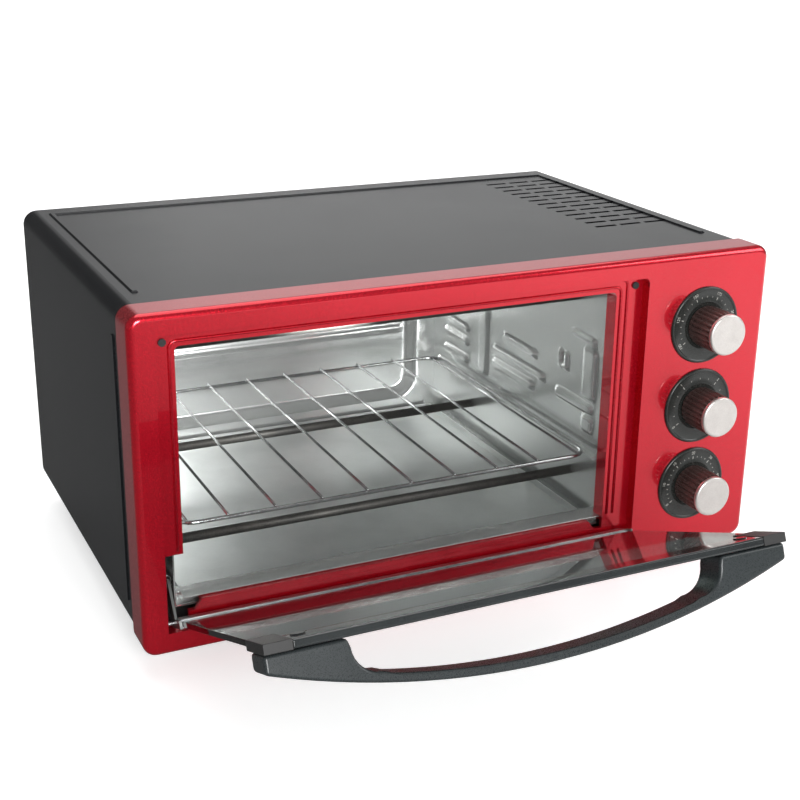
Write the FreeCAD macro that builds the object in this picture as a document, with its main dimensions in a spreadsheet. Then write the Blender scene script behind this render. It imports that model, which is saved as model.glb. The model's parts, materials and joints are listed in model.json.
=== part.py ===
"""Compact electric oven with a drop-down glass door and three knobs, in millimetres.

Cabinet coordinates: x to the right from the middle of the front, y back from the front
face, z up from the lower edge of the front bezel. Each piece is drawn in cabinet
coordinates and then set on the row frame, whose origin is on the table top. The door is
drawn closed about its hinge line and then turned to its open stop. Small and hidden
round things are drawn with flat sides; pins, shafts and their bores stay round.
"""
import FreeCAD, Part
import math
import os
import Sketcher

DOCUMENT = FreeCAD.newDocument("CompactOven")
SHEET = DOCUMENT.addObject("Spreadsheet::Sheet", "Sizes")

SIZES = (
    # Cabinet
    ("body_width", 400),
    ("bezel_height", 194),
    ("body_depth", 268),
    ("foot_height", 14),
    ("front_setback", 58.9),
    ("seam_gap", 0.3),
    ("sheet", 0.8),
    ("slot_width", 3.5),
    # Front bezel
    ("bezel_corner", 8),
    ("bezel_edge", 4),
    ("bezel_return", 22),
    ("bezel_wall", 2.5),
    ("bezel_front", 3),
    ("frame_left", 14),
    ("frame_top", 12),
    ("frame_bottom", 13),
    ("panel_width", 87),
    ("recess_depth", 7),
    ("recess_corner", 3.5),
    ("seat_left", 12),
    ("seat_right", 18),
    ("seat_top", 8.5),
    ("sill_rise", 14),
    ("seat_thickness", 2.5),
    ("collar_end", 17),
    ("collar_wall", 1.5),
    ("opening_corner", 3),
    ("slot_top", 56),
    ("sill_notch", 11),
    ("sill_notch_drop", 6),
    ("bumper_inset", 5.5),
    ("bumper_radius", 2.2),
    ("bumper_stem", 1.25),
    ("bumper_proud", 1.1),
    # Outer shell
    ("shell_inset", 1),
    ("shell_corner", 9),
    ("shell_foot", 3),
    ("shell_hem", 12),
    ("bead_width", 4),
    ("bead_height", 1),
    ("bead_inset", 14),
    ("bead_front", 46),
    ("bead_rear", 14),
    ("side_bead_front", 32),
    ("vent_rows", 13),
    ("vent_pitch", 12.2),
    ("vent_length", 15.5),
    ("vent_column_gap", 3.2),
    ("vent_front", 84),
    ("vent_side_inset", 17),
    ("side_vent_rows", 6),
    ("side_vent_pitch", 11),
    ("side_vent_low", 40),
    # Base pan
    ("pan_corner", 8),
    ("pan_side", 13),
    ("pan_slots", 7),
    ("pan_slot_pitch", 12),
    ("pan_slot_front", 96),
    ("pan_slot_length", 100),
    ("pan_slot_inset", 120),
    ("pan_short_slot", 34),
    # Rear cover
    ("rear_sheet", 1.2),
    ("flange_depth", 9),
    ("spacer_width", 200),
    ("spacer_height", 80),
    ("spacer_rise", 8),
    ("spacer_left", 60),
    ("spacer_low", 66),
    ("spacer_corner", 10),
    ("rear_slots", 9),
    ("rear_slot_pitch", 9),
    ("rear_slot_low", 84),
    ("rear_slot_length", 44),
    ("rear_screw_side", 16),
    ("rear_screw_low", 24),
    ("rear_screw_drop", 22),
    ("lead_height", 34),
    ("lead_hole", 8),
    ("lead_radius", 3.6),
    # Cooking chamber
    ("chamber_margin", 2.5),
    ("chamber_back", 249),
    ("chamber_floor_drop", 7.5),
    ("back_recess_depth", 11),
    ("back_recess_side", 15),
    ("back_recess_low", 11),
    ("back_recess_high", 16),
    ("back_recess_corner", 14),
    ("back_recess_slope", 6),
    ("back_bead_share", 0.4),
    ("back_bead_height", 3),
    ("emboss_height", 2.4),
    ("rib_width", 3.6),
    ("ledge_height", 3),
    ("ledge_reach", 3.8),
    ("ceiling_bead", 8),
    ("floor_step", 6),
    # Rack
    ("rack_height", 65.5),
    ("rack_wire", 2.6),
    ("rack_frame_wire", 3.4),
    ("rack_front", 22),
    ("rack_rear", 236),
    ("rack_side_gap", 3.4),
    ("rack_side_rail", 6),
    ("rack_pitch", 28.4),
    ("rack_wires", 8),
    ("rack_corner", 7),
    ("weld_sink", 0.7),
    # Heating elements
    ("element_radius", 3.2),
    ("element_front", 52),
    ("element_rear", 188),
    ("element_low", 43),
    ("element_high_drop", 16),
    ("element_overhang", 9),
    ("element_pin", 1.2),
    ("element_pin_length", 7),
    ("bush_radius", 6.5),
    ("bush_length", 5),
    # Crumb tray
    ("tray_rim", 5),
    ("tray_gap", 3),
    ("tray_lip", 8.6),
    ("tray_lip_half", 30),
    # Door
    ("door_thickness", 4.6),
    ("door_gap_left", 3),
    ("door_gap_right", 7),
    ("door_gap_top", 3),
    ("pivot_setback", 3.1),
    ("pivot_height", 17.5),
    ("door_open_angle", 67.4),
    ("glass_thickness", 3.2),
    ("glass_inset", 2.2),
    ("rail_height", 17),
    ("rail_leg", 0.65),
    ("rail_bevel", 0.8),
    ("clip_length", 26),
    ("clip_width", 14),
    ("clip_proud", 0.3),
    ("lower_rail_height", 13),
    ("bracket_plate", 1.5),
    ("bracket_height", 16),
    ("arm_reach", 24),
    ("arm_width", 7),
    ("arm_hole", 1.3),
    ("pin_radius", 1.3),
    ("pin_clearance", 0.08),
    ("press_fit", 0.04),
    # Handle
    ("handle_drop", 2),
    ("handle_height", 19),
    ("handle_bow", 38),
    ("handle_end", 14),
    ("handle_band", 4.6),
    ("grip_half", 104),
    ("grip_slope", 2),
    ("grip_corner", 14),
    ("handle_bevel", 1.2),
    ("handle_screw_half", 124),
    ("handle_screw_depth", 8),
    # Controls
    ("knob_pitch", 52.25),
    ("knob_middle_height", 96.25),
    ("knob_panel_share", 42),
    ("dial_radius", 24.3),
    ("dial_bore", 15),
    ("dial_proud", 1.6),
    ("dial_bevel", 0.7),
    ("knob_radius", 12.9),
    ("flute_depth", 1),
    ("knob_clear", 1.2),
    ("knob_length", 20),
    ("knob_crown", 5),
    ("knob_hollow", 10.3),
    ("knob_hub", 5),
    ("cap_radius", 12.8),
    ("cap_thickness", 3),
    ("cap_bevel", 0.8),
    ("cap_spigot", 8.8),
    ("cap_seat", 1.5),
    ("shaft_radius", 3),
    ("shaft_clearance", 0.06),
    ("shaft_tail", 12),
    ("bush_outer", 4.9),
    ("bush_front", 1),
    ("plate_setback", 12),
    ("plate_sheet", 1.2),
    ("plate_margin", 7),
    ("boss_radius", 4),
    ("nut_half", 8),
    ("nut_thickness", 2.4),
    # Thermostat, function switch and timer
    ("thermostat_half", 16),
    ("thermostat_rise", 13),
    ("thermostat_depth", 20),
    ("flange_half", 22),
    ("flange_rise", 14),
    ("flange_sheet", 1.5),
    ("switch_radius", 19),
    ("switch_depth", 20),
    ("tab_ring", 11),
    ("tab_half", 3.1),
    ("tab_sheet", 0.8),
    ("tab_length", 8),
    ("timer_half", 24),
    ("timer_rise", 21),
    ("timer_depth", 29),
    ("bell_stem", 3),
    ("bell_stem_length", 4),
    ("bell_crown", 14),
    ("bell_radius", 20),
    ("bell_height", 8),
    # Heat shield and terminal block
    ("shield_gap", 17),
    ("shield_front", 30),
    ("shield_foot", 9),
    ("shield_slots", 10),
    ("shield_slot_pitch", 15),
    ("shield_slot_front", 60),
    ("shield_slot_low", 120),
    ("shield_slot_length", 45),
    ("block_length", 36),
    ("block_width", 16),
    ("block_height", 12),
    ("block_front", 206),
    ("block_pitch", 12),
    ("block_hole", 2.2),
    ("block_hole_depth", 8),
    # Door spring
    ("peg_back", 96),
    ("peg_height", 27),
    ("peg_radius", 1.6),
    ("anchor_plate", 1.2),
    ("anchor_length", 17),
    ("anchor_rise", 12),
    ("spring_offset", 0.9),
    # Feet and fastenings
    ("foot_radius", 11),
    ("foot_tip_radius", 9.2),
    ("foot_bore", 4.8),
    ("foot_web", 4),
    ("foot_inset_side", 46),
    ("foot_inset_front", 40),
    ("foot_inset_rear", 34),
    ("screw_head", 3.6),
    ("screw_head_height", 1.8),
    ("screw_flat_head", 0.6),
    ("screw_shank", 1.5),
    ("screw_length", 7),
    ("screw_clearance", 0.3),
)

# Corners given to round things that are small or hidden
FINE, PLAIN, COARSE, HEX = 28, 16, 8, 6
CAP_SIDES = 24
FLUTES = 24

# Pressings of a side wall as shares of the chamber: height, front end and back end of a rib
WALL_RIBS = (
    (0.48, 0.30, 0.60), (0.56, 0.35, 0.54), (0.415, 0.36, 0.60), (0.457, 0.05, 0.235),
    (0.35, 0.76, 0.92), (0.435, 0.76, 0.92), (0.50, 0.76, 0.92),
)
# and front, back, low and high edges of a raised pad
WALL_PADS = ((0.04, 0.10, 0.50, 0.705), (0.045, 0.095, 0.36, 0.425), (0.635, 0.685, 0.335, 0.65))
# Upright hook between the ribs, and the bent guide above the front pad
HOOK = (0.18, 0.228, 0.572, 0.642)
GUIDE = (0.05, 0.167, 0.712, 0.751)
PRESSED_LINE = 0.016
CEILING_BEADS = (0.36, 0.53)
ELEMENTS = ("lower_front_element", "lower_rear_element", "upper_front_element", "upper_rear_element")


class Size:
    """A number on the sheet, or a sum or product of them: its formula and its value."""

    def __init__(self, formula, value):
        self.formula = formula
        self.value = float(value)

    def __add__(self, other):
        other = as_size(other)
        return Size(f"({self.formula} + {other.formula})", self.value + other.value)

    def __sub__(self, other):
        other = as_size(other)
        return Size(f"({self.formula} - {other.formula})", self.value - other.value)

    def __mul__(self, other):
        other = as_size(other)
        return Size(f"({self.formula} * {other.formula})", self.value * other.value)

    def __truediv__(self, other):
        other = as_size(other)
        return Size(f"({self.formula} / {other.formula})", self.value / other.value)

    def __neg__(self):
        return Size(f"(0 - {self.formula})", -self.value)

    def __radd__(self, other):
        return as_size(other) + self

    def __rsub__(self, other):
        return as_size(other) - self

    def __rmul__(self, other):
        return as_size(other) * self


def as_size(number):
    return number if isinstance(number, Size) else Size(repr(float(number)), number)


class Sizes:
    """The sheet's values by name."""


S = Sizes()
for row, (name, number) in enumerate(SIZES, start=1):
    SHEET.set(f"A{row}", name)
    SHEET.set(f"B{row}", str(number))
    SHEET.setAlias(f"B{row}", name)
    setattr(S, name, Size(f"Sizes.{name}", number))
DOCUMENT.recompute()

# Lines of the cabinet that several pieces share
LEFT = -S.body_width / 2
RIGHT = S.body_width / 2
RECESS_LEFT = LEFT + S.frame_left
RECESS_RIGHT = RIGHT - S.panel_width
RECESS_BOTTOM = S.frame_bottom
RECESS_TOP = S.bezel_height - S.frame_top
OPEN_LEFT = RECESS_LEFT + S.seat_left
OPEN_RIGHT = RECESS_RIGHT - S.seat_right
OPEN_BOTTOM = RECESS_BOTTOM + S.sill_rise
OPEN_TOP = RECESS_TOP - S.seat_top
CHAMBER_LEFT = OPEN_LEFT - S.chamber_margin
CHAMBER_RIGHT = OPEN_RIGHT + S.chamber_margin
CHAMBER_TOP = OPEN_TOP + S.chamber_margin
CHAMBER_FLOOR = OPEN_BOTTOM - S.chamber_floor_drop
CHAMBER_FRONT = S.collar_end + S.seam_gap
SHELL_FRONT = S.bezel_return + S.seam_gap
SHELL_REAR = S.body_depth - 2
SHELL_LEFT = LEFT + S.shell_inset
SHELL_RIGHT = RIGHT - S.shell_inset
SHELL_TOP = S.bezel_height - S.shell_inset
PAN_LOW = S.shell_foot + S.sheet
PAN_TOP = PAN_LOW + S.sheet
KNOB_X = RIGHT - S.panel_width + S.knob_panel_share
KNOB_HEIGHTS = (
    ("top", S.knob_middle_height + S.knob_pitch),
    ("middle", S.knob_middle_height),
    ("bottom", S.knob_middle_height - S.knob_pitch),
)
PLATE_BACK = S.plate_setback + S.plate_sheet
SHAFT_BORE = S.shaft_radius + S.shaft_clearance
KNOB_TIP = S.knob_clear + S.knob_length
# Lines of the door, whose heights are taken from the hinge line
DOOR_LEFT = RECESS_LEFT + S.door_gap_left
DOOR_RIGHT = RECESS_RIGHT - S.door_gap_right
DOOR_MIDDLE = (DOOR_LEFT + DOOR_RIGHT) / 2
DOOR_TOP = RECESS_TOP - S.door_gap_top - S.pivot_height
DOOR_HALF = S.door_thickness / 2
HANDLE_FACE = -DOOR_HALF - S.clip_proud - S.seam_gap
HANDLE_LOW = DOOR_TOP - S.handle_drop - S.handle_height
SPRING_LINE = DOOR_LEFT + S.bracket_plate + S.spring_offset

PLANE_ROLES = {"XY": "XY_Plane", "XZ": "XZ_Plane", "YZ": "YZ_Plane"}
NEAR = 1e-4


def bind(thing, field, size):
    """Tie one field of an object to its formula."""
    thing.setExpression(field, as_size(size).formula)


def seat(thing, x=0, y=0, z=0):
    """Put a piece drawn in cabinet coordinates, or about (x, y, z) there, on the row frame."""
    bind(thing, "Placement.Base.x", as_size(x))
    bind(thing, "Placement.Base.y", as_size(y) - S.front_setback)
    bind(thing, "Placement.Base.z", as_size(z) + S.foot_height)


def hang_on_door(thing):
    """Turn a piece drawn closed about the hinge line to the door's open stop."""
    thing.Placement = FreeCAD.Placement(FreeCAD.Vector(), FreeCAD.Rotation(FreeCAD.Vector(1, 0, 0), 10))
    bind(thing, "Placement.Rotation.Angle", S.door_open_angle)
    seat(thing, 0, S.pivot_setback, S.pivot_height)


def up(share):
    """Height in the cooking chamber at a share of its rise."""
    return CHAMBER_FLOOR + (CHAMBER_TOP - CHAMBER_FLOOR) * share


def deep(share):
    """Depth in the cooking chamber at a share of it."""
    return CHAMBER_FRONT + (S.chamber_back - CHAMBER_FRONT) * share


class Drawing:
    """A sketch whose points are held by distances from its origin, each tied to the sheet."""

    def __init__(self, sketch):
        self.sketch = sketch
        self.constraints = []
        self.formulas = {}

    def finish(self):
        """Give the sketch all its constraints at once, then their formulas."""
        self.sketch.addConstraint(self.constraints)
        for index, size in self.formulas.items():
            bind(self.sketch, f"Constraints[{index}]", size)

    def hold(self, kind, geometry, corner, size):
        self.formulas[len(self.constraints)] = size
        self.constraints.append(Sketcher.Constraint(kind, -1, 1, geometry, corner, size.value))

    def hold_point(self, geometry, corner, point):
        self.hold("DistanceX", geometry, corner, as_size(point[0]))
        self.hold("DistanceY", geometry, corner, as_size(point[1]))

    def hold_radius(self, geometry, radius):
        self.formulas[len(self.constraints)] = radius
        self.constraints.append(Sketcher.Constraint("Radius", geometry, radius.value))

    def circle(self, centre, radius):
        radius = as_size(radius)
        middle = FreeCAD.Vector(as_size(centre[0]).value, as_size(centre[1]).value, 0)
        edge = self.sketch.addGeometry(
            Part.Circle(middle, FreeCAD.Vector(0, 0, 1), radius.value), False)
        self.hold_point(edge, 3, centre)
        self.hold_radius(edge, radius)

    def polygon(self, centre, radius, sides):
        """Regular outline with its corners at the radius."""
        self.ring_of_points(centre, [radius] * sides)

    def ring_of_points(self, centre, radii):
        """Outline with its corners at even angles and at the given radii in turn."""
        points = []
        for corner, radius in enumerate(radii):
            angle = 2 * math.pi * (corner + 0.5) / len(radii)
            points.append((centre[0] + as_size(radius) * math.cos(angle),
                           centre[1] + as_size(radius) * math.sin(angle)))
        self.path(points)

    def path(self, points):
        """Closed outline. A point is (x, y), or (x, y, radius) where an arc of that radius
        runs from it to the next point, counter-clockwise if the radius is positive."""
        edges = []
        places = [FreeCAD.Vector(as_size(point[0]).value, as_size(point[1]).value, 0)
                  for point in points]
        for index, point in enumerate(points):
            start = places[index]
            end = places[(index + 1) % len(places)]
            if len(point) == 3:
                curve = arc_between(start, end, as_size(point[2]).value)
            else:
                curve = Part.LineSegment(start, end)
            edges.append(self.sketch.addGeometry(curve, False))
        for index, point in enumerate(points):
            clockwise = len(point) == 3 and as_size(point[2]).value < 0
            before = points[index - 1]
            clockwise_before = len(before) == 3 and as_size(before[2]).value < 0
            self.constraints.append(Sketcher.Constraint(
                "Coincident", edges[index - 1], 1 if clockwise_before else 2,
                edges[index], 2 if clockwise else 1))
            self.hold_point(edges[index], 2 if clockwise else 1, point)
            if len(point) == 3:
                radius = as_size(point[2])
                self.hold_radius(edges[index], -radius if clockwise else radius)

    def box(self, x0, x1, y0, y1, corner=None):
        """Rectangle, with rounded corners where a radius is given."""
        if corner is None:
            self.path([(x0, y0), (x1, y0), (x1, y1), (x0, y1)])
            return
        self.path([
            (x0 + corner, y0), (x1 - corner, y0, corner),
            (x1, y0 + corner), (x1, y1 - corner, corner),
            (x1 - corner, y1), (x0 + corner, y1, corner),
            (x0, y1 - corner), (x0, y0 + corner, corner),
        ])

    def cut_box(self, x0, x1, y0, y1, cut):
        """Rectangle with its corners cut off."""
        self.path([(x0 + cut, y0), (x1 - cut, y0), (x1, y0 + cut), (x1, y1 - cut),
                   (x1 - cut, y1), (x0 + cut, y1), (x0, y1 - cut), (x0, y0 + cut)])


def arc_between(start, end, radius):
    """The short arc from start to end, counter-clockwise if the radius is positive."""
    chord = end - start
    half = chord.Length / 2
    rise = math.sqrt(max(radius * radius - half * half, 0))
    side = FreeCAD.Vector(-chord.y, chord.x, 0).normalize()
    centre = start + chord * 0.5 + side * (rise if radius > 0 else -rise)
    low, high = (start, end) if radius > 0 else (end, start)
    first = math.atan2(low.y - centre.y, low.x - centre.x)
    last = math.atan2(high.y - centre.y, high.x - centre.x)
    if last < first:
        last += 2 * math.pi
    circle = Part.Circle(centre, FreeCAD.Vector(0, 0, 1), abs(radius))
    return Part.ArcOfCircle(circle, first, last)


class Piece:
    """One sub-part as a body. Every pad and pocket starts on a plane and runs the plus way."""

    pieces = []

    def __init__(self, label):
        self.body = DOCUMENT.addObject("PartDesign::Body", label)
        self.body.Label = label
        self.body.AllowCompound = True
        self.count = 0
        Piece.pieces.append(self.body)

    def sketch(self, plane, start, draw):
        self.count += 1
        sketch = self.body.newObject("Sketcher::SketchObject", f"{self.body.Label}_sketch_{self.count}")
        origin_plane = [item for item in self.body.Origin.OriginFeatures
                        if item.Role == PLANE_ROLES[plane]][0]
        sketch.AttachmentSupport = [(origin_plane, "")]
        sketch.MapMode = "FlatFace"
        start = as_size(start)
        bind(sketch, "AttachmentOffset.Base.z", -start if plane == "XZ" else start)
        drawing = Drawing(sketch)
        draw(drawing)
        drawing.finish()
        return sketch

    def grow(self, kind, plane, start, length, draw, backwards):
        sketch = self.sketch(plane, start, draw)
        feature = self.body.newObject(kind, f"{self.body.Label}_step_{self.count}")
        feature.Profile = sketch
        feature.Reversed = backwards
        bind(feature, "Length", length)
        DOCUMENT.recompute()
        return feature

    def pad(self, plane, start, length, draw):
        return self.grow("PartDesign::Pad", plane, start, length, draw, plane == "XZ")

    def pocket(self, plane, start, length, draw):
        volume = self.body.Shape.Volume
        feature = self.grow("PartDesign::Pocket", plane, start, length, draw, plane != "XZ")
        if self.body.Shape.Volume >= volume - NEAR:
            raise RuntimeError(f"{feature.Label} cuts nothing")
        return feature

    def loft(self, plane, start, first, end, last):
        """Flat-sided form from one outline at the start to another at the end."""
        sketches = [self.sketch(plane, start, first), self.sketch(plane, end, last)]
        feature = self.body.newObject("PartDesign::AdditiveLoft", f"{self.body.Label}_loft_{self.count}")
        feature.Profile = sketches[0]
        feature.Sections = sketches[1:]
        feature.Ruled = True
        DOCUMENT.recompute()
        return feature

    def repeat(self, features, plane_axis, pitch, copies):
        """A row of copies along one axis of the body's frame."""
        pattern = self.body.newObject("PartDesign::LinearPattern", f"{self.body.Label}_row_{self.count}")
        pattern.Originals = features
        axis = [item for item in self.body.Origin.OriginFeatures if item.Role == plane_axis][0]
        pattern.Direction = (axis, [""])
        bind(pattern, "Length", pitch * (copies - 1))
        bind(pattern, "Occurrences", copies)
        self.body.Tip = pattern
        DOCUMENT.recompute()
        return pattern

    def ring(self, features, plane_axis, copies):
        """Copies turned about one axis of the body's frame."""
        pattern = self.body.newObject("PartDesign::PolarPattern", f"{self.body.Label}_ring_{self.count}")
        pattern.Originals = features
        axis = [item for item in self.body.Origin.OriginFeatures if item.Role == plane_axis][0]
        pattern.Axis = (axis, [""])
        pattern.Angle = 360
        bind(pattern, "Occurrences", copies)
        self.body.Tip = pattern
        DOCUMENT.recompute()
        return pattern

    def round(self, radius, chosen, kind="PartDesign::Fillet"):
        """Round, or chamfer, the edges of the body that chosen() picks."""
        base = self.body.Tip
        names = [f"Edge{number}" for number, edge in enumerate(base.Shape.Edges, start=1)
                 if chosen(edge)]
        if not names:
            raise RuntimeError(f"{self.body.Label} has no edge to round")
        self.count += 1
        feature = self.body.newObject(kind, f"{self.body.Label}_edge_{self.count}")
        feature.Base = (base, names)
        bind(feature, "Radius" if kind == "PartDesign::Fillet" else "Size", radius)
        DOCUMENT.recompute()
        return feature

    def bevel(self, size, chosen):
        return self.round(size, chosen, "PartDesign::Chamfer")


def reach_of(edge, axis):
    box = edge.BoundBox
    return {"x": (box.XMin, box.XMax), "y": (box.YMin, box.YMax), "z": (box.ZMin, box.ZMax)}[axis]


def on_plane(edge, axis, value):
    """Whether an edge lies in the plane where the axis has the value."""
    low, high = reach_of(edge, axis)
    value = as_size(value).value
    return abs(low - value) < NEAR and abs(high - value) < NEAR


def spans(edge, axis, low, high):
    """Whether an edge lies between two values of an axis."""
    first, last = reach_of(edge, axis)
    return first > as_size(low).value - NEAR and last < as_size(high).value + NEAR


def front_bezel():
    """Painted frame with the door recess, the control panel and a return round the shell."""
    piece = Piece("front_bezel")
    wall = S.bezel_wall
    piece.pad("XZ", 0, S.bezel_return,
              lambda d: d.box(LEFT, RIGHT, 0, S.bezel_height, S.bezel_corner))
    piece.round(S.bezel_edge, lambda e: on_plane(e, "y", 0))
    seat_back = S.recess_depth + S.seat_thickness
    piece.pocket("XZ", seat_back, S.bezel_return - seat_back,
                 lambda d: d.cut_box(LEFT + wall, RIGHT - wall, wall, S.bezel_height - wall, S.bezel_edge))
    rim = wall + S.collar_wall

    def ring(d):
        d.cut_box(LEFT + rim, RIGHT - rim, rim, S.bezel_height - rim, S.bezel_edge)
        d.box(RECESS_LEFT - wall, RECESS_RIGHT + wall, RECESS_BOTTOM - wall, RECESS_TOP + wall)

    piece.pocket("XZ", S.bezel_front, seat_back - S.bezel_front, ring)
    piece.pocket("XZ", 0, S.recess_depth,
                 lambda d: d.box(RECESS_LEFT, RECESS_RIGHT, RECESS_BOTTOM, RECESS_TOP, S.recess_corner))
    # Collar round the opening, back to the cooking chamber
    collar = S.collar_wall
    piece.pad("XZ", seat_back, S.collar_end - seat_back,
              lambda d: d.box(OPEN_LEFT - collar, OPEN_RIGHT + collar, OPEN_BOTTOM - collar, OPEN_TOP + collar))
    piece.pocket("XZ", 0, S.collar_end,
                 lambda d: d.box(OPEN_LEFT, OPEN_RIGHT, OPEN_BOTTOM, OPEN_TOP, S.opening_corner))
    # Slot for the spring arm, and the sill's two cut-back ends
    piece.pocket("XZ", 0, S.collar_end,
                 lambda d: d.box(RECESS_LEFT, OPEN_LEFT + collar, RECESS_BOTTOM, S.slot_top))
    low = OPEN_BOTTOM - S.sill_notch_drop
    high = OPEN_BOTTOM + collar
    notch = S.sill_notch
    piece.pocket("XZ", 0, S.collar_end, lambda d: [
        d.path([(OPEN_LEFT, low), (OPEN_LEFT + notch / 2, low), (OPEN_LEFT + notch, high), (OPEN_LEFT, high)]),
        d.path([(OPEN_RIGHT, low), (OPEN_RIGHT, high), (OPEN_RIGHT - notch, high),
                (OPEN_RIGHT - notch / 2, low)])])
    # Hinge pin holes in the two sides of the recess
    hole = S.pin_radius + S.pin_clearance
    for start in (RECESS_LEFT - wall - collar, RECESS_RIGHT - collar):
        piece.pocket("YZ", start, wall + collar * 2,
                     lambda d: d.circle((S.pivot_setback, S.pivot_height), hole))
    # Knob holes and bumper holes
    for _, height in KNOB_HEIGHTS:
        piece.pocket("XZ", 0, S.bezel_front,
                     lambda d: d.polygon((KNOB_X, height), S.bush_outer + S.seam_gap * 2, PLAIN))
    for spot in bumper_spots():
        piece.pocket("XZ", S.recess_depth, S.seat_thickness,
                     lambda d: d.polygon(spot, S.bumper_stem + S.shaft_clearance, COARSE))
    # Bosses for the control plate
    for spot in boss_spots():
        piece.pad("XZ", S.bezel_front, S.plate_setback - S.bezel_front,
                  lambda d: d.polygon(spot, S.boss_radius, HEX))
    seat(piece.body)


def bumper_spots():
    inset = S.bumper_inset
    return ((RECESS_LEFT + inset, RECESS_TOP - inset), (RECESS_RIGHT - inset, RECESS_TOP - inset))


def boss_spots():
    side = S.bezel_wall + S.collar_wall + S.boss_radius + 1
    left = RECESS_RIGHT + S.bezel_wall + S.boss_radius + 1
    drop = side + S.bezel_front
    return tuple((x, z) for x in (left, RIGHT - side) for z in (drop, S.bezel_height - drop))


def outer_shell():
    """Steel wrap over the top and the two sides, open at the bottom between its hems."""
    piece = Piece("outer_shell")
    length = SHELL_REAR - SHELL_FRONT
    sheet = S.sheet
    piece.pad("XZ", SHELL_FRONT, length,
              lambda d: d.box(SHELL_LEFT, SHELL_RIGHT, S.shell_foot, SHELL_TOP, S.shell_corner))
    piece.pocket("XZ", SHELL_FRONT, length,
                 lambda d: d.box(SHELL_LEFT + sheet, SHELL_RIGHT - sheet, S.shell_foot + sheet,
                                 SHELL_TOP - sheet, S.shell_corner - sheet))
    piece.pocket("XZ", SHELL_FRONT, length,
                 lambda d: d.box(SHELL_LEFT + S.shell_hem, SHELL_RIGHT - S.shell_hem, 0,
                                 S.shell_foot + sheet * 2))
    # Pressed bead round the sides and back of the top
    left = SHELL_LEFT + S.bead_inset
    right = SHELL_RIGHT - S.bead_inset
    rear = SHELL_REAR - S.bead_rear
    wide = S.bead_width

    def top_bead(d):
        d.path([
            (left, S.bead_front), (left + wide, S.bead_front), (left + wide, rear - wide),
            (right - wide, rear - wide), (right - wide, S.bead_front), (right, S.bead_front),
            (right, rear), (left, rear)])

    piece.pad("XY", SHELL_TOP - sheet / 2, S.bead_height + sheet / 2, top_bead)
    piece.bevel(S.bead_height * 0.9, lambda e: on_plane(e, "z", SHELL_TOP + S.bead_height))
    # Upright bead near the front edge of each side
    low = S.shell_foot + S.shell_corner * 2
    tall = SHELL_TOP - S.shell_corner * 2 - low
    for start in (SHELL_LEFT - S.bead_height * 0.8, SHELL_RIGHT - sheet / 2):
        piece.pad("YZ", start, S.bead_height * 0.8 + sheet / 2,
                  lambda d: d.box(S.side_bead_front, S.side_bead_front + wide, low, low + tall))
    # Louvre slits over the control compartment, three columns
    step = S.vent_length + S.vent_column_gap
    first = SHELL_RIGHT - S.vent_side_inset - step * 3 + S.vent_column_gap

    def louvre_row(d):
        for column in range(3):
            start = first + step * column
            d.box(start, start + S.vent_length, S.vent_front, S.vent_front + S.slot_width)

    row = piece.pocket("XY", SHELL_TOP - sheet * 2, sheet * 4, louvre_row)
    piece.repeat([row], "Y_Axis", S.vent_pitch, S.vent_rows)
    # Slots low on the right side, level with the controls
    slot = piece.pocket("YZ", SHELL_RIGHT - sheet * 2, sheet * 4,
                        lambda d: d.box(S.vent_front, S.vent_front + S.slot_width,
                                        S.side_vent_low, S.side_vent_low + S.vent_length * 2))
    piece.repeat([slot], "Y_Axis", S.side_vent_pitch, S.side_vent_rows)
    seat(piece.body)


def base_pan():
    """Bottom sheet with turned-up sides and two fields of cooling slots."""
    piece = Piece("base_pan")
    sheet = S.sheet
    left = SHELL_LEFT + sheet + S.seam_gap
    right = SHELL_RIGHT - sheet - S.seam_gap
    low = PAN_LOW
    top = low + S.pan_side
    corner = S.pan_corner
    inner = corner + sheet * math.tan(math.radians(22.5))
    piece.pad("XZ", SHELL_FRONT, SHELL_REAR - S.seam_gap - SHELL_FRONT, lambda d: d.path([
        (left, top), (left, low + corner), (left + corner, low), (right - corner, low),
        (right, low + corner), (right, top), (right - sheet, top), (right - sheet, low + inner),
        (right - inner, low + sheet), (left + inner, low + sheet), (left + sheet, low + inner),
        (left + sheet, top)]))
    field = LEFT + S.pan_slot_inset
    for start, end in ((field, field + S.pan_slot_length),
                       (KNOB_X - S.pan_short_slot / 2, KNOB_X + S.pan_short_slot / 2)):
        slot = piece.pocket("XY", low - sheet, sheet * 4, lambda d: d.box(
            start, end, S.pan_slot_front, S.pan_slot_front + S.slot_width))
        piece.repeat([slot], "Y_Axis", S.pan_slot_pitch, S.pan_slots)
    for _, spot in foot_spots():
        piece.pocket("XY", low - sheet, sheet * 4,
                     lambda d: d.polygon(spot, S.screw_shank + S.screw_clearance, COARSE))
    seat(piece.body)


def foot_spots():
    left = LEFT + S.foot_inset_side
    right = RIGHT - S.foot_inset_side
    front = S.foot_inset_front
    rear = S.body_depth - S.foot_inset_rear
    return (("front_left", (left, front)), ("front_right", (right, front)),
            ("rear_left", (left, rear)), ("rear_right", (right, rear)))


def feet():
    """Four tapered feet, each with a recess for its screw."""
    top = PAN_LOW
    middle = (0, 0)
    for name, (x, y) in foot_spots():
        piece = Piece(f"foot_{name}")
        piece.loft("XY", top, lambda d: d.polygon(middle, S.foot_radius, PLAIN),
                   -S.foot_height, lambda d: d.polygon(middle, S.foot_tip_radius, PLAIN))
        piece.bevel(S.bead_height, lambda e: on_plane(e, "z", -S.foot_height))
        piece.pocket("XY", -S.foot_height, S.foot_web,
                     lambda d: d.polygon(middle, S.foot_bore, COARSE))
        piece.pocket("XY", S.foot_web - S.foot_height, S.foot_height + top, lambda d: d.polygon(
            middle, S.screw_shank + S.screw_clearance, COARSE))
        seat(piece.body, x, y, 0)


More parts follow.
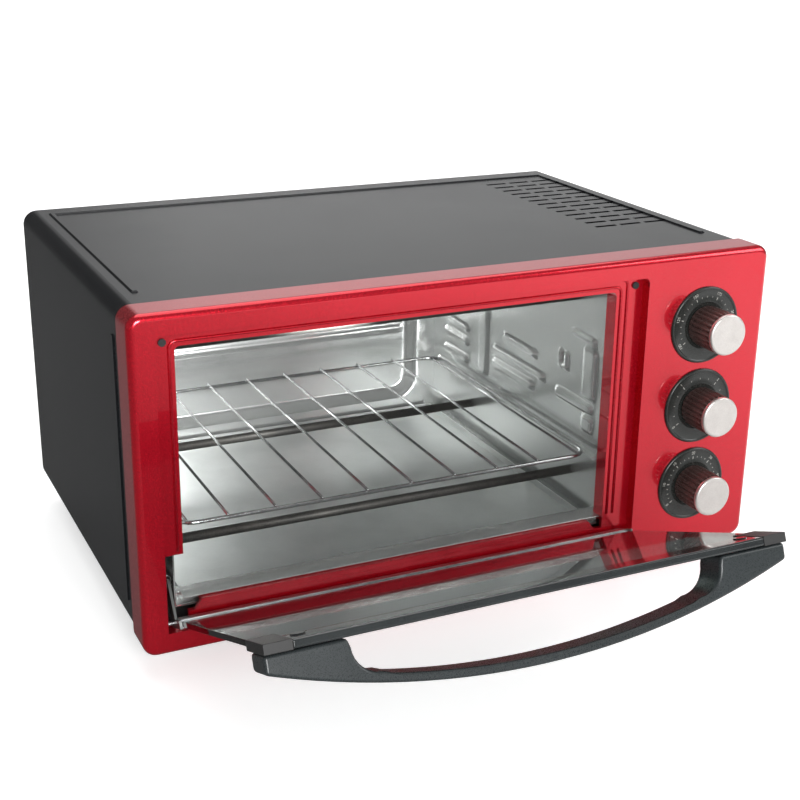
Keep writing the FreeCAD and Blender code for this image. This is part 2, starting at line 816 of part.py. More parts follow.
def rear_cover():
    """Pressed back panel with a spacer bump, slots and the hole for the mains lead."""
    piece = Piece("rear_cover")
    sheet = S.rear_sheet
    piece.pad("XZ", SHELL_REAR, sheet,
              lambda d: d.box(SHELL_LEFT, SHELL_RIGHT, S.shell_foot, SHELL_TOP, S.shell_corner))

    def flange(d):
        for inset in (S.sheet + S.seam_gap, S.sheet * 2 + S.seam_gap):
            d.cut_box(SHELL_LEFT + inset, SHELL_RIGHT - inset, PAN_TOP + S.pan_side + inset,
                      SHELL_TOP - inset, S.pan_corner)

    piece.pad("XZ", SHELL_REAR - S.flange_depth, S.flange_depth, flange)
    # Spacer bump that keeps the hot back off a wall
    back = SHELL_REAR + sheet
    left = LEFT + S.spacer_left
    right = left + S.spacer_width
    low = S.spacer_low
    high = low + S.spacer_height
    corner = S.spacer_corner
    piece.pad("XZ", back, S.spacer_rise, lambda d: d.box(left, right, low, high, corner))
    piece.bevel(sheet / 2, lambda e: on_plane(e, "y", back + S.spacer_rise))
    piece.pocket("XZ", SHELL_REAR, S.spacer_rise, lambda d: d.box(
        left + sheet, right - sheet, low + sheet, high - sheet, corner - sheet))
    middle = KNOB_X - S.rear_slot_length / 2
    slot = piece.pocket("XZ", SHELL_REAR - sheet, sheet * 3, lambda d: d.box(
        middle, middle + S.rear_slot_length, S.rear_slot_low, S.rear_slot_low + S.slot_width))
    piece.repeat([slot], "Z_Axis", S.rear_slot_pitch, S.rear_slots)
    piece.pocket("XZ", SHELL_REAR - sheet, sheet * 3,
                 lambda d: d.polygon((KNOB_X, S.lead_height), S.lead_hole, PLAIN))
    for spot in rear_screw_spots():
        piece.pocket("XZ", SHELL_REAR - sheet, sheet * 3,
                     lambda d: d.polygon(spot, S.screw_shank + S.screw_clearance, COARSE))
    seat(piece.body)


def rear_screw_spots():
    side = S.body_width / 2 - S.rear_screw_side
    return tuple((x, z) for x in (-side, side)
                 for z in (S.rear_screw_low, S.bezel_height - S.rear_screw_drop))


def chamber_side(label, inner, outwards):
    """One side wall of the cooking chamber, with its rack guides pressed inwards."""
    sheet = S.sheet
    piece = Piece(label)
    start = inner if outwards > 0 else inner - sheet
    piece.pad("YZ", start, sheet, lambda d: d.box(
        CHAMBER_FRONT, S.chamber_back, CHAMBER_FLOOR, CHAMBER_TOP))
    high = S.emboss_height
    half = S.rib_width / 2

    def press(draw):
        piece.pad("YZ", inner - high if outwards > 0 else inner, high, draw)

    for height, front, back in WALL_RIBS:
        press(lambda d: d.cut_box(deep(front), deep(back), up(height) - half, up(height) + half, half / 2))
    for front, back, bottom, top in WALL_PADS:
        press(lambda d: d.cut_box(deep(front), deep(back), up(bottom), up(top), half))
    press(hook_outline)
    press(guide_outline)
    # Ledge that carries the rack
    ledge = S.rack_height - S.rack_frame_wire / 2 - S.seam_gap
    piece.pad("YZ", inner - S.ledge_reach if outwards > 0 else inner, S.ledge_reach, lambda d: d.box(
        S.rack_front - 2, S.rack_rear + 4, ledge - S.ledge_height, ledge))
    # Holes for the four heating elements
    for spot in element_spots():
        piece.pocket("YZ", start - sheet, sheet * 3,
                     lambda d: d.polygon(spot, S.element_radius + S.seam_gap, COARSE))
    seat(piece.body)


def hook_outline(d):
    """Upright U between the ribs."""
    front, back, bottom, top = HOOK
    arm = PRESSED_LINE
    d.path([(deep(front), up(bottom)), (deep(back), up(bottom)), (deep(back), up(top)),
            (deep(back - arm), up(top)), (deep(back - arm), up(bottom + arm)),
            (deep(front + arm), up(bottom + arm)), (deep(front + arm), up(top)), (deep(front), up(top))])


def guide_outline(d):
    """Bent line over the front pad."""
    front, back, bottom, top = GUIDE
    arm = PRESSED_LINE
    d.path([(deep(front), up(bottom)), (deep(front + arm), up(bottom)),
            (deep(front + arm), up(top - arm)), (deep(back), up(top - arm)),
            (deep(back), up(top)), (deep(front), up(top))])


def element_spots():
    high = CHAMBER_TOP - S.element_high_drop
    return ((S.element_front, S.element_low), (S.element_rear, S.element_low),
            (S.element_front, high), (S.element_rear, high))


def chamber_back():
    """Back wall with a large pressed-back panel and one level bead."""
    piece = Piece("cavity_back_wall")
    sheet = S.sheet
    piece.pad("XZ", S.chamber_back, sheet, lambda d: d.box(
        CHAMBER_LEFT - sheet, CHAMBER_RIGHT + sheet, CHAMBER_FLOOR - sheet, CHAMBER_TOP + sheet))
    x0 = CHAMBER_LEFT + S.back_recess_side
    x1 = CHAMBER_RIGHT - S.back_recess_side
    z0 = CHAMBER_FLOOR + S.back_recess_low
    z1 = CHAMBER_TOP - S.back_recess_high
    corner = S.back_recess_corner
    slope = S.back_recess_slope
    piece.pad("XZ", S.chamber_back + sheet, S.back_recess_depth,
              lambda d: d.box(x0 - sheet, x1 + sheet, z0 - sheet, z1 + sheet, corner))
    piece.bevel(slope, lambda e: on_plane(e, "y", S.chamber_back + sheet + S.back_recess_depth))
    piece.pocket("XZ", S.chamber_back, S.back_recess_depth, lambda d: d.box(
        x0 + slope, x1 - slope, z0 + slope, z1 - slope, corner - slope * 0.6))
    piece.bevel(slope * 0.9, lambda e: on_plane(e, "y", S.chamber_back) and spans(e, "x", x0, x1))
    bead = up(S.back_bead_share)
    piece.pad("XZ", S.chamber_back + S.back_recess_depth - S.bead_height, S.bead_height + sheet / 2,
              lambda d: d.box(x0 + slope * 1.5, x1 - slope * 1.5, bead, bead + S.back_bead_height))
    seat(piece.body)


def chamber_ceiling():
    """Top sheet of the cooking chamber, lying on the side walls, with two stiffening beads."""
    piece = Piece("cavity_ceiling")
    sheet = S.sheet
    piece.pad("XY", CHAMBER_TOP, sheet, lambda d: d.box(
        CHAMBER_LEFT - sheet, CHAMBER_RIGHT + sheet, CHAMBER_FRONT, S.chamber_back))
    inset = S.ceiling_bead * 2
    piece.pad("XY", CHAMBER_TOP + sheet, S.bead_height * 2, lambda d: [
        d.box(CHAMBER_LEFT + inset, CHAMBER_RIGHT - inset, deep(share), deep(share) + S.ceiling_bead)
        for share in CEILING_BEADS])
    seat(piece.body)


def chamber_floor():
    """Floor sheet: a front lip behind the sill, a level strip, a step down and the well."""
    piece = Piece("cavity_floor")
    sheet = S.sheet
    seam = S.seam_gap
    strip = OPEN_BOTTOM + seam
    lip = S.recess_depth + S.seat_thickness + seam
    step = S.collar_end + S.floor_step
    well = CHAMBER_FLOOR
    piece.pad("YZ", CHAMBER_LEFT - sheet, CHAMBER_RIGHT - CHAMBER_LEFT + sheet * 2, lambda d: d.path([
        (CHAMBER_FRONT, well - sheet), (S.chamber_back, well - sheet), (S.chamber_back, well),
        (CHAMBER_FRONT, well)]))
    piece.pad("YZ", CHAMBER_LEFT + seam, CHAMBER_RIGHT - CHAMBER_LEFT - seam * 2, lambda d: d.path([
        (CHAMBER_FRONT, well), (step + sheet, well), (step + sheet, strip + sheet),
        (CHAMBER_FRONT, strip + sheet), (CHAMBER_FRONT, strip), (step, strip), (step, well + sheet),
        (CHAMBER_FRONT, well + sheet)]))
    piece.pad("YZ", OPEN_LEFT + seam, OPEN_RIGHT - OPEN_LEFT - seam * 2, lambda d: d.path([
        (lip, strip), (CHAMBER_FRONT, strip), (CHAMBER_FRONT, strip + sheet), (lip, strip + sheet)]))
    seat(piece.body)


def crumb_tray():
    """Loose tray in the floor well, with a low rim and a finger lip at the front."""
    piece = Piece("crumb_tray")
    sheet = S.sheet
    gap = S.tray_gap
    low = CHAMBER_FLOOR
    front = S.collar_end + S.floor_step + sheet + gap
    left = CHAMBER_LEFT + gap + S.emboss_height
    right = CHAMBER_RIGHT - gap - S.emboss_height
    rear = S.chamber_back - gap
    piece.pad("XY", low, S.tray_rim, lambda d: d.cut_box(left, right, front, rear, gap))
    piece.pocket("XY", low + sheet, S.tray_rim, lambda d: d.cut_box(
        left + sheet, right - sheet, front + sheet, rear - sheet, gap))
    middle = (left + right) / 2
    piece.pad("XY", low + S.tray_rim - sheet, sheet, lambda d: d.box(
        middle - S.tray_lip_half, middle + S.tray_lip_half, front + sheet / 2, front + S.tray_lip))
    seat(piece.body)


def wire_rack():
    """Rack of chromed wire: a bent frame, a second rail inside each side and cross wires."""
    piece = Piece("wire_rack")
    wire = S.rack_frame_wire / 2
    height = S.rack_height
    left = CHAMBER_LEFT + S.rack_side_gap + wire
    right = CHAMBER_RIGHT - S.rack_side_gap - wire
    front = S.rack_front + wire
    rear = S.rack_rear - wire
    spine = piece.sketch("XY", height, lambda d: d.cut_box(left, right, front, rear, S.rack_corner))
    profile = piece.sketch("YZ", (left + right) / 2, lambda d: d.polygon((front, height), wire, COARSE))
    pipe = piece.body.newObject("PartDesign::AdditivePipe", "wire_rack_frame")
    pipe.Profile = profile
    pipe.Spine = spine
    pipe.Transition = "Right corner"
    DOCUMENT.recompute()
    # Second rail inside each side
    rail = S.rack_wire / 2
    piece.pad("XZ", front, rear - front, lambda d: [
        d.polygon((x, height), rail, COARSE) for x in (left + S.rack_side_rail, right - S.rack_side_rail)])
    # Cross wires lie on the frame and are welded to it
    lift = height + wire + rail - S.weld_sink
    cross = piece.pad("XZ", S.rack_front, S.rack_rear - S.rack_front,
                      lambda d: d.polygon((left + S.rack_pitch, lift), rail, HEX))
    piece.repeat([cross], "X_Axis", S.rack_pitch, S.rack_wires)
    seat(piece.body)


def elements():
    """Four sheathed rods across the chamber, through both side walls, with their end pins."""
    left = CHAMBER_LEFT - S.element_overhang
    length = CHAMBER_RIGHT - CHAMBER_LEFT + S.element_overhang * 2
    pin = S.element_pin_length
    for name, spot in zip(ELEMENTS, element_spots()):
        piece = Piece(name)
        piece.pad("YZ", left, length, lambda d: d.polygon(spot, S.element_radius, COARSE))
        piece.pad("YZ", left - pin, length + pin * 2, lambda d: d.polygon(spot, S.element_pin, HEX))
        seat(piece.body)


def element_bushes():
    """Ceramic collars that hold the rods outside the side walls."""
    piece = Piece("element_bushes")
    sheet = S.sheet
    for start in (CHAMBER_LEFT - sheet - S.bush_length, CHAMBER_RIGHT + sheet):
        for spot in element_spots():
            piece.pad("YZ", start, S.bush_length, lambda d: [
                d.polygon(spot, S.bush_radius, COARSE),
                d.polygon(spot, S.element_radius + S.shaft_clearance, COARSE)])
    seat(piece.body)


def heat_shield():
    """Bent and slotted sheet between the hot chamber and the controls."""
    piece = Piece("heat_shield")
    x = CHAMBER_RIGHT + S.sheet + S.shield_gap
    sheet = S.sheet
    piece.pad("YZ", x, sheet, lambda d: d.box(
        S.shield_front, S.chamber_back, PAN_TOP, SHELL_TOP - sheet - 1))
    piece.pad("XY", PAN_TOP, sheet, lambda d: d.box(
        x, x + S.shield_foot, S.shield_front, S.chamber_back))
    slot = piece.pocket("YZ", x - sheet, sheet * 3, lambda d: d.box(
        S.shield_slot_front, S.shield_slot_front + S.slot_width,
        S.shield_slot_low, S.shield_slot_low + S.shield_slot_length))
    piece.repeat([slot], "Y_Axis", S.shield_slot_pitch, S.shield_slots)
    seat(piece.body)


def control_plate():
    """Steel plate behind the panel that carries the thermostat, switch and timer."""
    piece = Piece("control_plate")
    left = RECESS_RIGHT + S.bezel_wall
    right = RIGHT - S.bezel_wall - S.seam_gap - 1
    margin = S.plate_margin
    piece.pad("XZ", S.plate_setback, S.plate_sheet, lambda d: d.cut_box(
        left, right, margin, S.bezel_height - margin, S.boss_radius))
    for _, height in KNOB_HEIGHTS:
        piece.pocket("XZ", S.plate_setback - 1, S.plate_sheet + 2,
                     lambda d: d.polygon((KNOB_X, height), S.bush_outer + S.seam_gap, PLAIN))
    for spot in boss_spots():
        piece.pocket("XZ", S.plate_setback - 1, S.plate_sheet + 2,
                     lambda d: d.polygon(spot, S.screw_shank + S.screw_clearance, COARSE))
    seat(piece.body)


def control_bush(piece):
    """Threaded bush through the plate and the panel, bored for the shaft."""
    piece.pad("XZ", S.bush_front, PLATE_BACK - S.bush_front, lambda d: [
        d.polygon((0, 0), S.bush_outer, PLAIN), d.circle((0, 0), SHAFT_BORE)])


def bored(outline):
    """The outline with the shaft's bore in it."""
    return lambda d: [outline(d), d.circle((0, 0), SHAFT_BORE)]


def controls():
    """Thermostat at the top, function switch in the middle and timer at the bottom."""
    top, middle, bottom = (height for _, height in KNOB_HEIGHTS)
    tail = S.shaft_tail + 1

    thermostat = Piece("thermostat")
    control_bush(thermostat)

    def case(d):
        d.cut_box(-S.thermostat_half, S.thermostat_half, -S.thermostat_rise, S.thermostat_rise, S.bezel_wall)

    thermostat.pad("XZ", PLATE_BACK, S.flange_sheet, bored(lambda d: d.cut_box(
        -S.flange_half, S.flange_half, -S.flange_rise, S.flange_rise, S.bezel_edge)))
    thermostat.pad("XZ", PLATE_BACK + S.flange_sheet, tail - S.flange_sheet, bored(case))
    thermostat.pad("XZ", PLATE_BACK + tail, S.thermostat_depth - tail, case)
    tab_start = S.thermostat_half - S.tab_half * 3.5
    thermostat.pad("XZ", PLATE_BACK + S.thermostat_depth, S.tab_length, lambda d: [
        d.box(-tab_start - S.tab_half, -tab_start + S.tab_half, z, z + S.tab_sheet)
        for z in (-S.thermostat_rise / 2, S.thermostat_rise / 2)])
    seat(thermostat.body, KNOB_X, 0, top)

    switch = Piece("function_switch")
    control_bush(switch)

    def drum(d):
        d.polygon((0, 0), S.switch_radius, PLAIN)

    switch.pad("XZ", PLATE_BACK, tail, bored(drum))
    switch.pad("XZ", PLATE_BACK + tail, S.switch_depth - tail, drum)
    tab = switch.pad("XZ", PLATE_BACK + S.switch_depth, S.tab_length, lambda d: d.box(
        S.tab_ring, S.tab_ring + S.tab_sheet, -S.tab_half, S.tab_half))
    switch.ring([tab], "Y_Axis", as_size(5))
    seat(switch.body, KNOB_X, 0, middle)

    timer = Piece("timer")
    control_bush(timer)

    def block(d):
        d.cut_box(-S.timer_half, S.timer_half, -S.timer_rise, S.timer_rise, S.bezel_wall)

    timer.pad("XZ", PLATE_BACK, tail, bored(block))
    timer.pad("XZ", PLATE_BACK + tail, S.timer_depth - tail, block)
    timer.pad("XZ", PLATE_BACK + S.timer_depth, S.bell_stem_length,
              lambda d: d.polygon((0, 0), S.bell_stem, COARSE))
    seat(timer.body, KNOB_X, 0, bottom)

    bell = Piece("timer_bell")
    start = PLATE_BACK + S.timer_depth + S.bell_stem_length
    bell.loft("XZ", start, lambda d: d.polygon((0, 0), S.bell_crown, PLAIN),
              start + S.bell_height, lambda d: d.polygon((0, 0), S.bell_radius, PLAIN))
    bell.pocket("XZ", start + S.bell_height / 4, S.bell_height,
                lambda d: d.polygon((0, 0), S.bell_crown, PLAIN))
    seat(bell.body, KNOB_X, 0, bottom)


def knobs():
    """Three sets of fixed dial, turning shaft, fluted knob and spun cap."""
    middle = (0, 0)
    for name, height in KNOB_HEIGHTS:
        dial = Piece(f"dial_{name}")
        dial.pad("XZ", -S.dial_proud, S.dial_proud, lambda d: [
            d.polygon(middle, S.dial_radius, FINE), d.polygon(middle, S.dial_bore, FINE)])
        dial.bevel(S.dial_bevel, lambda e: on_plane(e, "y", -S.dial_proud))
        seat(dial.body, KNOB_X, 0, height)

        knob = Piece(f"knob_{name}")
        knob.pad("XZ", -KNOB_TIP, S.knob_length, lambda d: d.ring_of_points(
            middle, [S.knob_radius, S.knob_radius - S.flute_depth] * FLUTES))
        knob.pocket("XZ", -KNOB_TIP + S.knob_crown, S.knob_length, lambda d: [
            d.polygon(middle, S.knob_hollow, PLAIN), d.polygon(middle, S.knob_hub, COARSE)])
        knob.pocket("XZ", -KNOB_TIP, S.cap_seat,
                    lambda d: d.polygon(middle, S.cap_spigot + S.seam_gap, PLAIN))
        knob.pocket("XZ", -KNOB_TIP + S.cap_seat, S.knob_length,
                    lambda d: d.circle(middle, S.shaft_radius + S.press_fit))
        seat(knob.body, KNOB_X, 0, height)

        cap = Piece(f"knob_cap_{name}")
        front = -KNOB_TIP - S.cap_thickness
        seam = S.pin_clearance
        cap.pad("XZ", front, S.cap_thickness - seam, lambda d: d.polygon(middle, S.cap_radius, CAP_SIDES))
        cap.bevel(S.cap_bevel, lambda e: on_plane(e, "y", front))
        cap.pad("XZ", -KNOB_TIP - seam, S.cap_seat, lambda d: d.polygon(middle, S.cap_spigot, PLAIN))
        seat(cap.body, KNOB_X, 0, height)

        shaft = Piece(f"shaft_{name}")
        start = -KNOB_TIP + S.cap_seat + S.seam_gap
        shaft.pad("XZ", start, S.plate_setback + S.shaft_tail - start,
                  lambda d: d.circle(middle, S.shaft_radius))
        seat(shaft.body, KNOB_X, 0, height)


def half_round_foot(half, high):
    """Outline of a strip whose lower end is round about the hinge line."""
    return [(-half, 0, half), (0, -half, half), (half, 0), (half, high), (-half, high)]


def door():
    """Glass in two rails and two corner clips, on end brackets with pivot pins."""
    half = DOOR_HALF
    plate = S.bracket_plate
    fit = half - S.rail_leg
    side = plate + S.seam_gap
    glass_left = DOOR_LEFT + side
    glass_width = DOOR_RIGHT - DOOR_LEFT - side * 2
    glass_half = S.glass_thickness / 2
    top = DOOR_TOP
    spots = handle_screw_spots()
    shank = S.screw_shank + S.screw_clearance

    glass = Piece("door_glass")
    glass.pad("YZ", glass_left, glass_width, lambda d: d.box(
        -glass_half, glass_half, S.glass_inset, top - S.rail_leg - S.seam_gap))
    glass.pocket("XZ", -half, S.door_thickness, lambda d: [
        d.polygon(spot, shank * 1.5, COARSE) for spot in spots])
    hang_on_door(glass.body)

    rail = Piece("door_top_rail")
    low = top - S.rail_height
    bevel = S.rail_bevel
    clip = S.clip_width + S.seam_gap
    rail.pad("YZ", DOOR_LEFT + clip, DOOR_RIGHT - DOOR_LEFT - clip * 2, lambda d: d.path([
        (-half, low), (-fit, low), (-fit, top - S.rail_leg), (fit, top - S.rail_leg), (fit, low),
        (half, low), (half, top - bevel), (half - bevel, top), (-half + bevel, top), (-half, top - bevel)]))
    rail.pocket("XZ", -half, S.door_thickness,
                lambda d: [d.polygon(spot, shank, COARSE) for spot in spots])
    hang_on_door(rail.body)

    clips = Piece("door_rail_caps")
    outer = half + S.clip_proud
    low = top - S.clip_length
    for start in (DOOR_LEFT, DOOR_RIGHT - S.clip_width):
        clips.pad("YZ", start, S.clip_width, lambda d: d.cut_box(-outer, outer, low, top, S.clip_proud))
    clips.pocket("YZ", DOOR_LEFT + plate, DOOR_RIGHT - DOOR_LEFT - plate * 2,
                 lambda d: d.box(-fit, fit, low, top - S.rail_leg))
    hang_on_door(clips.body)

    lower = Piece("door_bottom_rail")
    floor = S.glass_inset - S.seam_gap
    tall = S.lower_rail_height
    lower.pad("YZ", glass_left, glass_width, lambda d: d.path([
        (-half, 0, half), (0, -half, half), (half, 0), (half, tall), (fit, tall), (fit, floor),
        (-fit, floor), (-fit, tall), (-half, tall)]))
    hang_on_door(lower.body)

    for name, start in (("left", DOOR_LEFT), ("right", DOOR_RIGHT - plate)):
        bracket = Piece(f"hinge_bracket_{name}")
        bracket.pad("YZ", start, plate, lambda d: [
            d.path(half_round_foot(half, S.bracket_height)),
            d.circle((0, 0), S.pin_radius + S.press_fit)])
        if name == "left":
            reach = S.arm_reach
            wide = S.arm_width / 2
            joint = half - S.clip_proud
            bracket.pad("YZ", start, plate, lambda d: [
                d.path([(joint, -half / 2), (reach - wide, -wide), (reach, -wide / 2), (reach, wide / 2),
                        (reach - wide, wide), (joint, wide * 2)]),
                d.polygon((reach - wide, 0), S.arm_hole, COARSE)])
        hang_on_door(bracket.body)

    inset = S.seam_gap / 2
    wall = S.bezel_wall + S.collar_wall / 2
    for name, start, length in (
            ("left", RECESS_LEFT - wall, wall + S.door_gap_left + plate + inset),
            ("right", DOOR_RIGHT - plate - inset, wall + S.door_gap_right + plate + inset)):
        pin = Piece(f"hinge_pin_{name}")
        pin.pad("YZ", start, length, lambda d: d.circle((0, 0), S.pin_radius))
        hang_on_door(pin.body)


def handle_screw_spots():
    height = HANDLE_LOW + S.handle_height / 2
    return ((DOOR_MIDDLE - S.handle_screw_half, height), (DOOR_MIDDLE + S.handle_screw_half, height))


def handle():
    """Bowed bar across the whole door, with a D-shaped space for the fingers."""
    piece = Piece("door_handle")
    half = DOOR_HALF
    face = HANDLE_FACE
    middle = DOOR_MIDDLE
    wide = (DOOR_RIGHT - DOOR_LEFT) / 2
    rise = S.handle_bow - S.handle_end
    bow_radius = (wide * wide + rise * rise) / (rise * 2)
    end_y = half - S.handle_end
    piece.pad("XY", HANDLE_LOW, S.handle_height, lambda d: d.path([
        (middle - wide, face), (middle - wide, end_y, bow_radius), (middle + wide, end_y),
        (middle + wide, face)]))
    grip_radius = bow_radius - S.handle_band
    low = S.grip_half - S.grip_slope
    # Depth of the finger space at the ends of its bowed side
    grip_y = half - S.handle_bow + S.handle_band + low * low / (grip_radius * 2)
    piece.pocket("XY", HANDLE_LOW, S.handle_height, lambda d: d.path([
        (middle - S.grip_half, face + 1), (middle - low, grip_y, grip_radius), (middle + low, grip_y),
        (middle + S.grip_half, face + 1)]))
    corners = (middle - low).value, (middle + low).value
    piece.round(S.grip_corner, lambda e: spans(e, "y", grip_y, grip_y)
                and any(abs(e.BoundBox.XMin - x) < NEAR for x in corners)
                and e.BoundBox.ZLength > S.handle_height.value / 2)
    levels = (HANDLE_LOW, HANDLE_LOW + S.handle_height)
    piece.bevel(S.handle_bevel, lambda e: any(on_plane(e, "z", level) for level in levels)
                and e.BoundBox.YMin < face.value - S.bead_height.value)
    depth = S.handle_screw_depth + 1
    spots = handle_screw_spots()
    piece.pocket("XZ", face - depth, depth, lambda d: [
        d.polygon(spot, S.screw_shank + S.shaft_clearance, COARSE) for spot in spots])
    hang_on_door(piece.body)

    screws = Piece("handle_screws")
    screws.pad("XZ", half, S.screw_flat_head, lambda d: [
        d.polygon(spot, S.screw_head, COARSE) for spot in spots])
    start = face - S.handle_screw_depth
    screws.pad("XZ", start, half - start, lambda d: [
        d.polygon(spot, S.screw_shank, COARSE) for spot in spots])
    hang_on_door(screws.body)


def bar(radius, sides, start, axis, length):
    """Straight bar with a regular outline, from start along the axis."""
    turn = FreeCAD.Rotation(FreeCAD.Vector(0, 0, 1), axis)
    angles = [2 * math.pi * corner / sides for corner in range(sides + 1)]
    corners = [start + turn.multVec(FreeCAD.Vector(radius * math.cos(a), radius * math.sin(a), 0))
               for a in angles]
    corners[-1] = corners[0]
    return Part.Face(Part.makePolygon(corners)).extrude(axis * length)


def door_spring():
    """Closed coil spring from the left bracket's arm to a peg on the chamber wall."""
    angle = math.radians(S.door_open_angle.value)
    reach = S.arm_reach.value - S.arm_width.value / 2
    x = SPRING_LINE.value
    tip = FreeCAD.Vector(x, S.pivot_setback.value + reach * math.cos(angle),
                         S.pivot_height.value + reach * math.sin(angle))
    peg = FreeCAD.Vector(x, S.peg_back.value, S.peg_height.value)
    line = peg - tip
    unit = FreeCAD.Vector(line)
    unit.normalize()
    hook, wire, radius = 9, 0.6, 3
    coil_length = line.Length - hook * 2
    coil = bar(radius, PLAIN, tip + unit * hook, unit, coil_length)
    space = bar(radius - wire * 2, PLAIN, tip + unit * (hook + wire * 2), unit, coil_length - wire * 4)
    near = bar(wire, HEX, tip, unit, hook + wire)
    across = bar(wire * 0.9, HEX, tip + unit * wire, FreeCAD.Vector(-1, 0, 0), hook * 0.4)
    far = bar(wire, HEX, peg, unit * -1, hook + wire)
    spring = DOCUMENT.addObject("Part::Feature", "door_spring")
    spring.Label = "door_spring"
    spring.Shape = coil.cut(space).fuse([near, across, far]).removeSplitter()
    seat(spring)
    Piece.pieces.append(spring)

    anchor = Piece("spring_anchor")
    outer = CHAMBER_LEFT - S.sheet
    plate = S.anchor_plate
    front = S.peg_back - S.bezel_front
    low = S.peg_height - S.anchor_rise / 2
    anchor.pad("YZ", outer - plate, plate, lambda d: d.cut_box(
        front, front + S.anchor_length, low, low + S.anchor_rise, S.collar_wall))
    peg_start = SPRING_LINE - S.collar_wall
    peg_spot = (S.peg_back + S.peg_radius + S.seam_gap / 2, S.peg_height)
    anchor.pad("YZ", peg_start, outer - plate - peg_start,
               lambda d: d.polygon(peg_spot, S.peg_radius, COARSE))
    seat(anchor.body)


def screw_set(label, plane, spots, head_start, head_height, shank_start, shank_length):
    """Screws at the spots, with their heads and shanks along the plane's normal."""
    piece = Piece(label)
    for spot in spots:
        piece.pad(plane, head_start, head_height, lambda d: d.polygon(spot, S.screw_head, COARSE))
        piece.pad(plane, shank_start, shank_length, lambda d: d.polygon(spot, S.screw_shank, HEX))
    seat(piece.body)


def small_parts():
    """Bumpers, the lead's grommet, the terminal block, the screws and the nuts."""
    bumpers = Piece("door_bumpers")
    proud = S.bumper_proud
    bumpers.pad("XZ", S.recess_depth - proud, proud, lambda d: [
        d.polygon(spot, S.bumper_radius, COARSE) for spot in bumper_spots()])
    bumpers.pad("XZ", S.recess_depth, S.seat_thickness + 1, lambda d: [
        d.polygon(spot, S.bumper_stem, COARSE) for spot in bumper_spots()])
    seat(bumpers.body)

    grommet = Piece("lead_grommet")
    rear = SHELL_REAR + S.rear_sheet
    seam = S.seam_gap / 2
    neck = S.lead_hole - S.seam_gap
    flange = S.lead_hole + S.bumper_radius
    middle = (0, 0)
    grommet.pad("XZ", SHELL_REAR - S.bead_width, S.bead_width - seam,
                lambda d: d.polygon(middle, flange, PLAIN))
    grommet.pad("XZ", SHELL_REAR - seam, S.rear_sheet + seam * 2, lambda d: d.polygon(middle, neck, PLAIN))
    grommet.loft("XZ", rear + seam, lambda d: d.polygon(middle, flange, PLAIN),
                 rear + S.spacer_rise - 1, lambda d: d.polygon(middle, flange * 0.6, PLAIN))
    grommet.pocket("XZ", SHELL_REAR - S.bead_width, S.spacer_rise * 2,
                   lambda d: d.polygon(middle, S.lead_radius, PLAIN))
    seat(grommet.body, KNOB_X, 0, S.lead_height)

    block = Piece("terminal_block")
    left = KNOB_X - S.block_length * 2 / 3
    block.pad("XY", PAN_TOP, S.block_height, lambda d: d.box(
        left, left + S.block_length, S.block_front, S.block_front + S.block_width))
    block.pocket("XY", PAN_TOP + S.block_height - S.block_hole_depth, S.block_hole_depth, lambda d: [
        d.polygon((left + S.block_pitch * (step + 0.5), S.block_front + S.block_width / 2),
                  S.block_hole, COARSE) for step in range(3)])
    seat(block.body)

    tall = S.screw_head_height
    screw_set("rear_cover_screws", "XZ", rear_screw_spots(), rear, tall, rear - S.screw_length, S.screw_length)
    web = S.foot_web - S.foot_height
    screw_set("foot_screws", "XY", [spot for _, spot in foot_spots()], web - tall, tall,
              web, S.foot_height + S.bezel_front)
    screw_set("control_plate_screws", "XZ", boss_spots(), PLATE_BACK, tall,
              S.plate_setback + S.shaft_clearance, S.plate_sheet)

    nuts = Piece("control_nuts")
    for _, height in KNOB_HEIGHTS:
        nuts.pad("XZ", S.bezel_front + S.seam_gap, S.nut_thickness, lambda d: [
            d.polygon((KNOB_X, height), S.nut_half, HEX),
            d.polygon((KNOB_X, height), S.bush_outer + S.shaft_clearance, PLAIN)])
    seat(nuts.body)


def check_and_write():
    """Stop on any failed object, then write each piece to its own file."""
    DOCUMENT.recompute()
    for thing in DOCUMENT.Objects:
        if "Invalid" in thing.State or "Error" in thing.State:
            raise RuntimeError(f"{thing.Label} failed: {thing.State}")
    os.makedirs("parts", exist_ok=True)
    for piece in Piece.pieces:
        shape = piece.Shape
        if shape.isNull() or not shape.isValid() or not shape.Solids:
            raise RuntimeError(f"{piece.Label} has no valid solid")
        shape.exportStep(os.path.join("parts", f"{piece.Label}.step"))


front_bezel()
outer_shell()
base_pan()
feet()
rear_cover()
chamber_side("cavity_left_wall", CHAMBER_LEFT, -1)
chamber_side("cavity_right_wall", CHAMBER_RIGHT, 1)
chamber_back()
chamber_ceiling()
chamber_floor()
crumb_tray()
wire_rack()
elements()
element_bushes()
heat_shield()
control_plate()
controls()
knobs()
door()
handle()
door_spring()
small_parts()
check_and_write()
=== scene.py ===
"""Compact electric oven with its glass door dropped open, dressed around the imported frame.

Metres throughout. x runs to the right, y to the back and z up, with the origin on the
table top. Places are worked out from the frame's own boxes wherever a piece has one.
"""
import json
import math

import bmesh
import bpy
import numpy as np
from mathutils import Matrix, Vector


